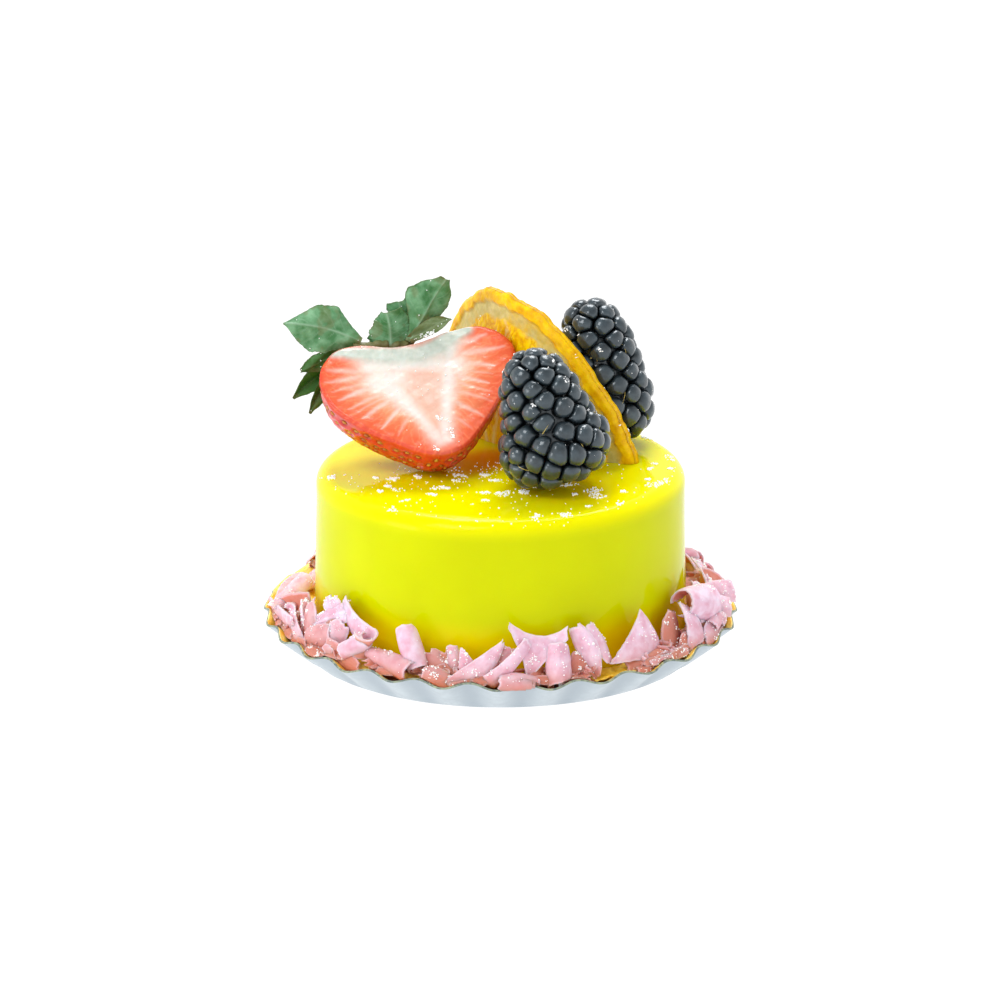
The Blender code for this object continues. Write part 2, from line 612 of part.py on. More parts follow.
def scattered_shavings(draw):
    """The shavings of the sides and back: tubes, cones and shards leaning on the cake, in turn round the ring."""
    found = []
    turn = 97.0
    while turn < 263:
        kind = draw.random()
        up = draw.uniform(4.2, 6.0)
        lean = draw.uniform(-7, 7)
        top = draw.uniform(11.0, 15.0)
        foot = Place(turn, draw.uniform(41.6, 43.0), up)
        head = Place(turn + lean, draw.uniform(39.0, 40.0), top)
        if kind < 0.35:
            radius = draw.uniform(1.7, 2.3)
            found.append(Shaving(foot, head, radius, radius * 0.95, 330, 300, draw.uniform(0, 360)))
        elif kind < 0.7:
            radius = draw.uniform(3.5, 6.5)
            found.append(Shaving(foot, head, radius, radius, draw.uniform(50, 100), draw.uniform(5, 60), 0))
        else:
            radius = draw.uniform(1.6, 2.2)
            head = Place(turn + draw.choice((-11, 11)), draw.uniform(42.6, 43.4), up + 1.0)
            found.append(Shaving(foot, head, radius, radius * 1.25, 300, 300, draw.uniform(0, 360)))
        turn += draw.uniform(6.4, 8.0)
    return found


def sheet_of(shaving):
    """Outer and inner grids of a shaving, a strip of a cone's surface."""
    foot, head = shaving.foot.point(), shaving.head.point()
    line = (head - foot) / np.linalg.norm(head - foot)
    outward = np.array([foot[0] + head[0], foot[1] + head[1], 0.0])
    outward -= line * outward.dot(line)
    outward /= np.linalg.norm(outward)
    beside = np.cross(line, outward)
    widest = max(shaving.wrap_foot, shaving.wrap_head)
    columns = max(2, round(widest / DEGREES_PER_COLUMN)) + 1
    u = np.linspace(-0.5, 0.5, columns)[None, :]
    v = np.linspace(0, 1, 3 if widest < TUBE_WRAP else 2)[:, None]
    radius = (shaving.radius_foot + (shaving.radius_head - shaving.radius_foot) * v) * MM
    wrap = np.radians(shaving.wrap_foot + (shaving.wrap_head - shaving.wrap_foot) * v)
    faces = math.radians(shaving.faces)
    angle = (faces + u * wrap)[..., None]
    spoke = np.cos(angle) * outward + np.sin(angle) * beside
    middle = foot + v[..., None] * (head - foot) + radius[..., None] * spoke
    if widest < TUBE_WRAP:
        middle = middle - radius[..., None] * (math.cos(faces) * outward + math.sin(faces) * beside)
    offset = 0.5 * SHAVING_THICKNESS * spoke
    return middle + offset, middle - offset


def clearance(points):
    """The least distance by which points stay clear of the cake's side and the case's wall, in metres."""
    out = np.hypot(points[..., 0], points[..., 1])
    from_cake = out - cake_radius(points[..., 2])
    over_case = (points[..., 2] - case_inner_height(out)) * 0.7
    return from_cake.min(), over_case.min()


def settled(shaving):
    """The shaving moved outwards and up until it clears the cake and the case, or None where it can't."""
    for _ in range(24):
        grids = np.array(sheet_of(shaving))
        from_cake, over_case = clearance(grids)
        if from_cake >= GAP and over_case >= GAP:
            return grids
        out = 0.25 if from_cake < GAP else 0.0
        up = 0.3 if over_case < GAP else 0.0
        shaving = shaving._replace(
            foot=shaving.foot._replace(out=shaving.foot.out + out, up=shaving.foot.up + up),
            head=shaving.head._replace(out=shaving.head.out + out, up=shaving.head.up + up),
        )
    return None


def build_shavings():
    """The ring of chocolate shavings: a low bank with the curled pieces fused on."""
    material = make_material("pink_chocolate", (0.86, 0.49, 0.57), 0.5)
    bm = bmesh.new()
    add_rings(bm, turned(np.array(BANK) * MM, BANK_SEGMENTS), closed_tube=True)
    shapes = [make_object("bank", bm, material)]
    draw = random.Random(HEAP_SEED)
    for number, shaving in enumerate(list(FRONT_SHAVINGS) + scattered_shavings(draw)):
        grids = settled(shaving)
        if grids is not None:
            bm = bmesh.new()
            add_sheet(bm, *grids)
            shapes.append(make_object(f"shaving_{number}", bm, material))
    ring = join_all("chocolate_curls", shapes, material)
    drop_scraps(ring)
    merge_flat(ring)
    return ring


def main():
    """Builds every piece of the cake."""
    remove_objects()
    build_case()
    build_cake()
    build_strawberry()
    build_calyx()
    build_orange()
    berry_skin = make_material("bramble_skin", (0.02, 0.025, 0.035), 0.25)
    for berry in BRAMBLES:
        build_bramble(berry, berry_skin)
    build_shavings()


main()
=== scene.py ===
"""Looks of an individual passion fruit mousse cake in its fluted, foil-lined card case.

Every piece is a surface worked out with numpy in the cake's own frame: metres, +Z up, -Y to the front, and
the origin in the middle of the case's underside.
"""

import logging
import math
from dataclasses import dataclass, field, replace
from enum import Enum

import bpy
import numpy as np
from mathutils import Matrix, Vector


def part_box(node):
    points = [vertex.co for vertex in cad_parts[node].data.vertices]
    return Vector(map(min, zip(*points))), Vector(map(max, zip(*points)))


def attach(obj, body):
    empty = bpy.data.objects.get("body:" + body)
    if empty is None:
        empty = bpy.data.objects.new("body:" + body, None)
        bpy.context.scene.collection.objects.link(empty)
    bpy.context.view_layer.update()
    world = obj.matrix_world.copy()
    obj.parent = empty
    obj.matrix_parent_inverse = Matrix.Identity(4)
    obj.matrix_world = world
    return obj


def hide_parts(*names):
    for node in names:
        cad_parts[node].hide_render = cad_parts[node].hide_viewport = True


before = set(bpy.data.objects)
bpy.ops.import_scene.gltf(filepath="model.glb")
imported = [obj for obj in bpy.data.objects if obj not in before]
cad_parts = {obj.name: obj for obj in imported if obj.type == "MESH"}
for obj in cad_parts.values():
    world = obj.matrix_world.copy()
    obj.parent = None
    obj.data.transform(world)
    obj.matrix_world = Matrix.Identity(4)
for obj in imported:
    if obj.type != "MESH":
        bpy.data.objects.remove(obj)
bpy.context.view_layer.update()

MM = 0.001
FULL_TURN = 2 * math.pi
GOLDEN_ANGLE = math.pi * (3 - math.sqrt(5))
Array = np.ndarray
Pair = tuple[float, float]
Triple = tuple[float, float, float]
WAVE_DIRECTIONS = 5  # how many sines an octave of noise adds up
WAVE_LEVEL = 3.5  # brings their sum to about -1 to 1
log = logging.getLogger("cake")


# Helpers for numbers and meshes


def linear(hex_colour: str) -> tuple[float, float, float, float]:
    """Linear red, green, blue and alpha of an sRGB hex colour.

    The curve of sRGB is undone: a straight line near black, and a power of 2.4 above it.

    Args:
        hex_colour: Such as "#f0c040".

    Returns:
        Four numbers, alpha being 1.
    """
    channels = np.array([int(hex_colour[k:k + 2], 16) for k in (1, 3, 5)]) / 255
    flat = np.where(channels <= 0.04045, channels / 12.92, ((channels + 0.055) / 1.055) ** 2.4)
    return (*flat.tolist(), 1.0)


def unit(vectors: Array) -> Array:
    """The vectors along the last axis, made one long."""
    return vectors / np.maximum(np.linalg.norm(vectors, axis=-1, keepdims=True), 1e-12)


def waves(points: Array, size: float, seed: int, octaves: int = 3) -> Array:
    """Smooth noise at points: sines along random directions, each octave half as large and half as strong.

    Args:
        points: Places, with their coordinates along the last axis.
        size: Length of the longest waves, in the points' unit.
        seed: Of the random directions.
        octaves: How many sizes are added up.

    Returns:
        About -1 to 1 at each point.
    """
    draw = np.random.default_rng(seed)
    total = np.zeros(points.shape[:-1])
    for octave in range(octaves):
        for _ in range(WAVE_DIRECTIONS):
            along = unit(draw.normal(size=points.shape[-1]))
            pace = FULL_TURN / (size * 0.5**octave) * draw.uniform(0.7, 1.3)
            total += np.sin(points @ along * pace + draw.uniform(0, FULL_TURN)) * 0.5**octave
    return total / WAVE_LEVEL


def ease(x: Array, low: float, high: float) -> Array:
    """Zero below low, one above high, and a smooth rise between."""
    t = np.clip((x - low) / (high - low), 0, 1)
    return t * t * (3 - 2 * t)


def bell(distance: Array, width: Array | float) -> Array:
    """A bell curve of a distance: the power of e of minus the square of its share of the width."""
    return np.exp(-((distance / width) ** 2))


@dataclass
class Body:
    """A closed body: its points, its faces of four and three corners, and the numbers its finish reads.

    `values` holds one number a point for each name, and `part` one a quad: which of the finishes it has.
    """

    points: Array
    quads: Array
    tris: Array = field(default_factory=lambda: np.zeros((0, 3), int))
    values: dict[str, Array] = field(default_factory=dict)
    part: Array | None = None

    def faced_out(self) -> "Body":
        """Turns all faces round if the body's signed volume is negative.

        Returns:
            The body with its faces pointing outwards.
        """
        fan = np.concatenate([self.quads[:, [0, 1, 2]], self.quads[:, [0, 2, 3]], self.tris])
        a, b, c = (self.points[fan[:, k]] for k in range(3))
        if np.einsum("ij,ij->", a - self.points[0], np.cross(b - self.points[0], c - self.points[0])) >= 0:
            return self
        return replace(self, quads=self.quads[:, ::-1], tris=self.tris[:, ::-1])


def joined(bodies: list[Body]) -> Body:
    """All the bodies as one, in the same order, each still closed in itself."""
    starts = np.cumsum([0] + [len(b.points) for b in bodies[:-1]])
    return Body(
        np.concatenate([b.points for b in bodies]),
        np.concatenate([b.quads + s for b, s in zip(bodies, starts)]),
        np.concatenate([b.tris + s for b, s in zip(bodies, starts)]),
        {name: np.concatenate([b.values[name] for b in bodies]) for name in bodies[0].values},
    )


def grid_quads(rows: int, columns: int, around: bool) -> Array:
    """Corner numbers of the quads of a grid of points.

    Args:
        rows: How many.
        columns: How many.
        around: Whether the last joins the first.

    Returns:
        Four numbers a quad.
    """
    i = np.arange(rows - 1)[:, None] * columns
    j = np.arange(columns if around else columns - 1)[None, :]
    after = (j + 1) % columns
    return np.stack([i + j, i + after, i + columns + after, i + columns + j], axis=-1).reshape(-1, 4)


def lathe(grid: Array, values: dict[str, Array] | None = None) -> Body:
    """A closed body from rings of points, its two ends drawn in to a point each.

    Args:
        grid: Points as rings, rows by columns by 3.
        values: Numbers for each point of the grid.

    Returns:
        The body, facing outwards.
    """
    rows, columns = grid.shape[:2]
    count = rows * columns
    ring = np.arange(columns)
    after = (ring + 1) % columns
    last = count - columns
    tris = np.concatenate([
        np.stack([np.full(columns, count), after, ring], axis=-1),
        np.stack([np.full(columns, count + 1), last + ring, last + after], axis=-1),
    ])
    points = np.concatenate([grid.reshape(-1, 3), grid[:1].mean(axis=1), grid[-1:].mean(axis=1)])
    numbers = {
        name: np.concatenate([v.reshape(-1), [v[0].mean(), v[-1].mean()]])
        for name, v in (values or {}).items()
    }
    return Body(points, grid_quads(rows, columns, True), tris, numbers).faced_out()


def sheet(front: Array, back: Array, values: dict[str, Array]) -> Body:
    """A closed thin body between two grids of points, with its rim closed by a band of quads.

    Args:
        front: Points of one face, rows by columns by 3.
        back: Points of the other face, in the same order.
        values: Numbers for each place of the grid. "inside" is added: 0 on the front and 1 on the back.

    Returns:
        The body, facing outwards.
    """
    rows, columns = front.shape[:2]
    count = rows * columns
    top = grid_quads(rows, columns, False)
    index = np.arange(count).reshape(rows, columns)
    rim = np.concatenate([index[:-1, 0], index[-1, :-1], index[:0:-1, -1], index[0, :0:-1]])
    after = np.roll(rim, -1)
    band = np.stack([rim, after, after + count, rim + count], axis=-1)
    quads = np.concatenate([top[:, ::-1], top + count, band])
    numbers = {name: np.tile(v.reshape(-1), 2) for name, v in values.items()}
    numbers["inside"] = np.repeat([0.0, 1.0], count)
    points = np.concatenate([front.reshape(-1, 3), back.reshape(-1, 3)])
    return Body(points, quads, values=numbers).faced_out()


def ring_normals(rings: Array) -> Array:
    """Unit normals of rings of points, from the cross product of the steps round a ring and to the next."""
    over = (np.roll(rings, -1, axis=1) - np.roll(rings, 1, axis=1)) / 2
    return unit(np.cross(over, np.gradient(rings, axis=0)))


def turns(count: int) -> Array:
    """That many angles, evenly round a full turn."""
    return np.linspace(0, FULL_TURN, count, endpoint=False)


def round_points(radius: Array | float, angle: Array, height: Array | float) -> Array:
    """Points round the vertical axis, from their distances to it, angles and heights, broadcast together."""
    x, y, z = np.broadcast_arrays(radius * np.cos(angle), radius * np.sin(angle), height)
    return np.stack([x, y, z], axis=-1)


def stepped(*steps: tuple[Array, Array]) -> Array:
    """The sum of steps, each a distance for every point and the direction in which it is taken."""
    return sum(distance[..., None] * way for distance, way in steps)


def off_line(places: Array, start: Pair, end: Pair) -> tuple[Array, Array]:
    """How far along a line its nearest point to each place lies, as a share of the line, and how far off.

    The share is the dot product with the line over its squared length, kept from 0 to 1.
    """
    run = np.subtract(end, start)
    share = np.clip((places - start) @ run / max(run @ run, 1e-9), 0, 1)
    return share, np.linalg.norm(places - start - share[..., None] * run, axis=-1)


def add_piece(name: str, body: Body, finishes: list[bpy.types.Material],
              nodes: tuple[str, ...] = (), smooth: bool = True) -> None:
    """Makes the body a mesh object that rides on the cake and stands for its CAD nodes.

    Args:
        name: Of the piece.
        body: Its points, faces and numbers.
        finishes: Materials; a quad takes the one that `body.part` says, or else the first.
        nodes: CAD nodes that it replaces.
        smooth: Whether it is shaded smooth.
    """
    mesh = bpy.data.meshes.new(name)
    loops = np.concatenate([body.quads.ravel(), body.tris.ravel()]).astype(np.int32)
    sizes = np.repeat([4, 3], [len(body.quads), len(body.tris)])
    mesh.vertices.add(len(body.points))
    mesh.vertices.foreach_set("co", body.points.astype(np.float32).ravel())
    mesh.loops.add(len(loops))
    mesh.loops.foreach_set("vertex_index", loops)
    mesh.polygons.add(len(sizes))
    mesh.polygons.foreach_set("loop_start", np.concatenate([[0], np.cumsum(sizes)[:-1]]).astype(np.int32))
    if body.part is not None:
        mesh.polygons.foreach_set("material_index", body.part.astype(np.int32))
    mesh.update(calc_edges=True)
    for label, numbers in body.values.items():
        attribute = mesh.attributes.new(label, "FLOAT", "POINT")
        attribute.data.foreach_set("value", numbers.astype(np.float32))
    if smooth:
        mesh.shade_smooth()
    for finish in finishes:
        mesh.materials.append(finish)
    piece = bpy.data.objects.new(name, mesh)
    bpy.context.scene.collection.objects.link(piece)
    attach(piece, "root")
    if nodes:
        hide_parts(*nodes)
    log.info("%s: %d points, %d faces", name, len(body.points), len(sizes))


# Finishes


def add_node(tree: bpy.types.NodeTree, name: str, kind: str, settings: dict[str, object] | None = None,
             links: dict[str, str] | None = None) -> None:
    """Adds a shader node, or takes the one that has its name, then sets its values and links its inputs.

    Args:
        tree: The node tree.
        name: The node's, by which the links of other nodes find it.
        kind: Its type name, less "ShaderNode".
        settings: Values by the name of an input or, failing that, of a property. A colour is an sRGB hex, and
            "stops" is a colour ramp's places and colours.
        links: What feeds each input, as "node.Output".
    """
    node = tree.nodes.get(name) or tree.nodes.new("ShaderNode" + kind)
    node.name = name
    for key, value in (settings or {}).items():
        if key == "stops":
            elements = node.color_ramp.elements
            while len(elements) < len(value):
                elements.new(1.0)
            for element, (place, colour) in zip(elements, value):
                element.position, element.color = place, linear(colour)
        elif key in node.inputs:
            node.inputs[key].default_value = linear(value) if isinstance(value, str) else value
        else:
            setattr(node, key, value)
    for key, source in (links or {}).items():
        other, output = source.split(".")
        tree.links.new(tree.nodes[other].outputs[output], node.inputs[key])


class Finish:
    """A material: a base colour, layers laid over it one by one, and a fine relief.

    Colours are sRGB hex, or the name of one of the `ramps`. A mask or a ramp's source that isn't one of the
    `noises` is an attribute of the mesh. This class itself is a plain, finely grained finish.
    """

    name: str = "plain"
    shader: dict[str, object] = {}  # values of the shader's own sockets
    noises: dict[str, Pair] = {"grain": (1.1, 3.0)}  # mm across a lump, and octaves
    ramps: dict[str, tuple[str, tuple[tuple[float, str], ...]]] = {}  # the source, and places and colours
    nodes: tuple[tuple, ...] = ()  # what `add_node` takes, for what the other tables can't say
    base: str = ""  # the colour underneath
    layers: tuple[tuple[str, str], ...] = ()  # a mask from 0 to 1, and the colour that it lays over
    relief: tuple[str, float] | None = ("grain", 0.02)  # the pattern that stands out, and its height in mm
    relief_input: str = "Normal"

    def build(self) -> bpy.types.Material:
        """Makes the material: patterns, colours one over the other by their masks, relief and shader."""
        material = bpy.data.materials.new(self.name)
        material.use_nodes = True
        tree = material.node_tree
        if self.noises:
            add_node(tree, "place", "TexCoord")
        for name, (size, octaves) in self.noises.items():
            scale = 1.0 / (size * MM)
            add_node(tree, name, "TexNoise", {"Scale": scale, "Detail": octaves}, {"Vector": "place.Object"})
        for name in [source for source, _ in self.ramps.values()] + [mask for mask, _ in self.layers]:
            if name not in self.noises:
                add_node(tree, name, "Attribute", {"attribute_name": name})
        for name, (source, stops) in self.ramps.items():
            add_node(tree, name, "ValToRGB", {"stops": stops}, {"Fac": source + ".Fac"})
        for row in self.nodes:
            add_node(tree, *row)
        colour, feeds = self.base, {}
        for mask, over in self.layers:
            tints = {"Color1": colour, "Color2": over}
            settings = {key: tint for key, tint in tints.items() if tint.startswith("#")}
            links = {key: tint + ".Color" for key, tint in tints.items() if key not in settings}
            colour = "over_" + mask
            add_node(tree, colour, "MixRGB", settings, {"Fac": mask + ".Fac", **links})
        if colour:
            feeds["Base Color"] = colour + ".Color"
        if self.relief:
            pattern, height = self.relief
            add_node(tree, "relief", "Bump", {"Distance": height * MM}, {"Height": pattern + ".Fac"})
            feeds[self.relief_input] = "relief.Normal"
        add_node(tree, "Principled BSDF", "BsdfPrincipled", self.shader, feeds)
        return material


class Glaze(Finish):
    """Mirror glaze poured over mousse: cloudy yellow under a wet coat, painted lighter on top where light
    falls, with a painted golden glow in the shade near its foot and a painted orange shadow under the fruit,
    so its shaded places look golden rather than grey."""

    name = "mirror_glaze"
    shader = {
        "Roughness": 0.35, "Subsurface Weight": 0.6, "Subsurface Radius": (1.0, 0.6, 0.1),
        "Subsurface Scale": 3.0 * MM, "Specular IOR Level": 0.0, "Coat Weight": 1.0, "Coat Roughness": 0.04,
        "Coat IOR": 1.20,
    }
    noises = {"depth": (14.0, 2.0), "swell": (9.0, 1.0)}
    ramps = {"side": ("depth", ((0.3, "#cdd300"), (0.7, "#d3da00")))}
    base = "side"
    # Painted light and shade: the first layer lightens the top, where light falls; the second is a golden
    # glow painted in the shade near the foot; the third is an orange shadow painted under the fruit.
    layers = (("level", "#ebe600"), ("pool", "#fce000"), ("juice", "#ee8c00"))
    relief = ("swell", 0.12)
    relief_input = "Coat Normal"


class CardWhite(Finish):
    """Coated white board: fibres under the coating mottle it faintly, and painted shade darkens it along the
    flutes.
    """

    name = "coated_white_board"
    shader = {"Roughness": 0.45}
    noises = {"fibres": (1.6, 4.0), "grain": (0.5, 4.0)}
    ramps = {"mottle": ("fibres", ((0.35, "#bfcad1"), (0.65, "#c9d4db")))}
    base = "mottle"
    # painted shade along the flutes, following the flute cosine
    layers = (("fold", "#aebac3"),)
    relief = ("grain", 0.01)


class GoldFoil(Finish):
    """Gold-coloured foil on the board: creases scatter its shine, and some patches are duller."""

    name = "gold_foil"
    shader = {"Roughness": 0.36, "Metallic": 0.15}
    noises = {"dull": (2.5, 4.0), "creases": (1.2, 3.0)}
    ramps = {"foil": ("dull", ((0.35, "#fdc934"), (0.65, "#ffea80")))}
    base = "foil"
    relief = ("creases", 0.25)


class CardEdge(Finish):
    """The cut edge of the board: grey core with olive flecks where foil was cut."""

    name = "cut_board_edge"
    shader = {"Roughness": 0.55}
    noises = {"flecks": (0.9, 4.0)}
    ramps = {"edge": ("flecks", ((0.38, "#66746f"), (0.62, "#a3ab8c")))}
    base = "edge"
    relief = None


class PinkChocolate(Finish):
    """Shaved pink chocolate, a little see-through: frosted pink where the blade passed, with painted salmon
    shade on the inner faces of the curls and deep in the heap, and whitish broken lips."""

    name = "shaved_pink_chocolate"
    shader = {
        "Roughness": 0.5, "Subsurface Weight": 0.5, "Subsurface Radius": (1.0, 0.45, 0.4),
        "Subsurface Scale": 1.2 * MM, "Specular IOR Level": 0.3,
    }
    noises = {"frost": (2.2, 5.0), "grain": (0.5, 4.0)}
    ramps = {
        "outer": ("frost", ((0.36, "#e4b0c6"), (0.66, "#f8dcee"))),
        # inner: a salmon copy of the pink, painted shade for the inner faces
        "inner": ("frost", ((0.36, "#e2937f"), (0.66, "#eda798"))),
    }
    base = "outer"
    # the inner faces and the deep places take painted salmon shade; lips are whitish broken edges
    layers = (("inside", "inner"), ("deep", "#cd8270"), ("lip", "#f8dcea"))
    relief = ("grain", 0.05)


class BerryFlesh(Finish):
    """The strawberry's moist cut flesh: orange-pink to red as it is riper, with a pink heart, white rays and
    greenish white under the leaves."""

    name = "strawberry_cut_flesh"
    shader = {
        "Roughness": 0.34, "Subsurface Weight": 0.2, "Subsurface Radius": (1.0, 0.4, 0.25),
        "Subsurface Scale": 0.8 * MM, "Coat Weight": 0.3, "Coat Roughness": 0.15, "Coat IOR": 1.33,
    }
    noises = {"cells": (1.5, 4.0), "grain": (0.6, 3.0)}
    ramps = {
        "flesh": ("ripe", ((0.0, "#edb79d"), (0.42, "#ee9466"), (0.78, "#ec6538"), (1.0, "#d43a1c"))),
        "pink": ("cells", ((0.3, "#e8ad93"), (0.7, "#edc3b0"))),
        "green": ("cells", ((0.3, "#bac4b8"), (0.7, "#d3d9cf"))),
    }
    base = "flesh"
    layers = (("pith", "pink"), ("white", "#eee3dc"), ("band", "green"))
    relief = ("grain", 0.04)


class BerrySkin(Finish):
    """The strawberry's skin: moist, shining red in clouds of ripeness, with painted shade, a deeper red, in
    its pits.
    """

    name = "strawberry_skin"
    shader = {
        "Roughness": 0.3, "Subsurface Weight": 0.15, "Subsurface Radius": (1.0, 0.2, 0.1),
        "Subsurface Scale": 0.8 * MM, "Coat Weight": 0.5, "Coat Roughness": 0.15, "Coat IOR": 1.4,
    }
    noises = {"cloud": (4.0, 3.0)}
    ramps = {"red": ("cloud", ((0.3, "#cb1d17"), (0.7, "#e83c30")))}
    base = "red"
    # painted shade: deeper red in the pits
    layers = (("pit", "#8d1006"),)
    relief = None


class Achene(Finish):
    """The dry little fruits on a strawberry: each has its own tone between gold and red-brown."""

    name = "achene"
    shader = {"Roughness": 0.4}
    noises = {}
    base = "#d8a838"
    layers = (("tone", "#a8541c"),)
    relief = None


class Leaf(Finish):
    """Strawberry leaf: matt clouded green, with paler veins, deep green patches and worn, brownish edges."""

    name = "strawberry_leaf_green"
    shader = {"Roughness": 0.48}
    noises = {"cloud": (2.4, 5.0), "net": (0.6, 4.0)}
    ramps = {"green": ("cloud", ((0.34, "#35743d"), (0.66, "#77ab7f")))}
    base = "green"
    layers = (("vein", "#86ae8a"), ("dark", "#23660f"), ("worn", "#6f6a38"))
    relief = ("net", 0.10)


class OrangeFlesh(Finish):
    """Dried orange: glassy yellow juice sacs between pale membranes, stained pith and a leathery rind."""

    name = "dried_orange"
    shader = {
        "Roughness": 0.36, "Subsurface Weight": 0.25, "Subsurface Radius": (1.0, 0.6, 0.1),
        "Subsurface Scale": 1.0 * MM, "Specular IOR Level": 0.12, "Coat Weight": 0.12, "Coat Roughness": 0.18,
    }
    noises = {"cloud": (1.8, 5.0), "spread": (4.5, 3.0), "wrinkles": (0.8, 5.0)}
    ramps = {
        "cream": ("cloud", ((0.34, "#c2b264"), (0.66, "#dccb84"))),
        "gold": ("cloud", ((0.34, "#e0a300"), (0.66, "#fdd008"))),
    }
    nodes = (
        ("stain", "MapRange", {"From Min": 0.42, "From Max": 0.62}, {"Value": "spread.Fac"}),
        ("stained", "MixRGB", {"Color2": "#dab22e"}, {"Fac": "stain.Result", "Color1": "cream.Color"}),
    )
    base = "#dc9c00"
    layers = (("sac", "#fbd800"), ("membrane", "#ecd27a"), ("pith", "stained"), ("rind", "gold"))
    relief = ("wrinkles", 0.16)


class BrambleSkin(Finish):
    """Bramble skin: blue-black with a clouded bloom under a wet shine, and painted black shade in the
    grooves.
    """

    name = "bramble_skin"
    shader = {
        "Roughness": 0.36, "Specular IOR Level": 0.6, "Specular Tint": "#d5ecfb", "Coat Weight": 0.9,
        "Coat Roughness": 0.12,
    }
    noises = {"clouds": (2.0, 4.0), "grain": (0.45, 3.0)}
    ramps = {"bloom": ("clouds", ((0.3, "#12181c"), (0.7, "#323e45")))}
    base = "bloom"
    # painted shade: near black in the grooves and on the core
    layers = (("groove", "#07090b"),)
    relief = ("grain", 0.05)


class Style(Finish):
    """A bramble's dried styles: straw-coloured hairs."""

    name = "dried_style"
    shader = {"Base Color": "#d9c06a", "Roughness": 0.5}


class Sugar(Finish):
    """Icing sugar in small damp grains, with a faint painted glow as light, so it stays white in shade."""

    name = "icing_sugar"
    shader = {
        # painted light: a faint glow
        "Base Color": "#fcfdfc", "Roughness": 0.6, "Emission Color": "#f9fdff", "Emission Strength": 0.16,
    }


class LightTable(Finish):
    """The white table top in the photograph: it glows evenly, so no shadow shows on it."""

    name = "white_light_table"
    shader = {
        "Base Color": "#303030", "Roughness": 0.6, "Emission Color": "#ffffff", "Emission Strength": 1.0,
    }


# The camera, the light and the floor


@dataclass
class Studio:
    """A white table under soft light, and a camera that looks down on the cake from the front."""

    target: Triple = (-0.1 * MM, 0.0, 28.3 * MM)
    distance: float = 900 * MM
    down: float = math.radians(18.2)
    lens_mm: float = 167.6
    floor_size: float = 6.0
    horizon: float = 1.3
    zenith: float = 0.35

    def build(self) -> None:
        """Makes the camera, the lights, the world and the floor."""
        self.camera()
        self.world()
        self.area("key", (-0.32, -0.42, 0.72), 0.36, 2.6)
        self.area("back", (0.05, 0.40, 0.70), 0.40, 4.2)
        self.area("left", (-0.55, -0.30, 0.12), 0.25, 0.7)
        self.floor()
        bpy.context.scene.view_settings.view_transform = "Standard"

    def camera(self) -> None:
        """A long lens, level across, aimed at the cake's middle."""
        camera = bpy.data.cameras.new("camera")
        camera.lens = self.lens_mm
        camera.clip_end = 20
        thing = bpy.data.objects.new("camera", camera)
        x, y, z = self.target
        thing.location = (x, y - self.distance * math.cos(self.down), z + self.distance * math.sin(self.down))
        thing.rotation_euler = (math.pi / 2 - self.down, 0, 0)
        bpy.context.scene.collection.objects.link(thing)
        bpy.context.scene.camera = thing

    def world(self) -> None:
        """A white surround, brightest low down: it falls off with the sine of the height looked at."""
        world = bpy.data.worlds.new("white_room")
        world.use_nodes = True
        tree = world.node_tree
        add_node(tree, "way", "TexCoord")
        add_node(tree, "parts", "SeparateXYZ", {}, {"Vector": "way.Generated"})
        strength = {"To Min": self.horizon, "To Max": self.zenith}
        add_node(tree, "glow", "MapRange", strength, {"Value": "parts.Z"})
        add_node(tree, "Background", "Background", {"Color": "#ffffff"}, {"Strength": "glow.Result"})
        bpy.context.scene.world = world

    def area(self, name: str, place: Triple, size: float, watts: float) -> None:
        """A square soft light, turned by the angles of its line to the cake's middle.

        Args:
            name: Of the light.
            place: Where it hangs, in metres.
            size: Of its side, in metres.
            watts: Its power.
        """
        light = bpy.data.lights.new(name, "AREA")
        light.size = size
        light.energy = watts
        thing = bpy.data.objects.new(name, light)
        thing.location = place
        aim = np.subtract(self.target, place)
        heading = math.atan2(aim[0], -aim[1]) + math.pi
        thing.rotation_euler = (math.acos(-aim[2] / np.linalg.norm(aim)), 0, heading)
        bpy.context.scene.collection.objects.link(thing)

    def floor(self) -> None:
        """A wide white table top, which isn't part of the cake."""
        half = self.floor_size / 2
        mesh = bpy.data.meshes.new("floor")
        corners = [(-half, -half, 0), (half, -half, 0), (half, half, 0), (-half, half, 0)]
        mesh.from_pydata(corners, [], [(0, 1, 2, 3)])
        mesh.materials.append(LightTable().build())
        floor = bpy.data.objects.new("floor", mesh)
        bpy.context.scene.collection.objects.link(floor)


# The card case and the cake

FRUIT_FEET = (  # where fruit stands on the glaze: a line's ends, how far its painted shadow reaches in mm, and its strength
    ((-8.0, 0.0), (-2.0, 4.0), 6.5, 1.0), ((12.2, -14.4), (12.2, -14.4), 10.4, 0.3),
)


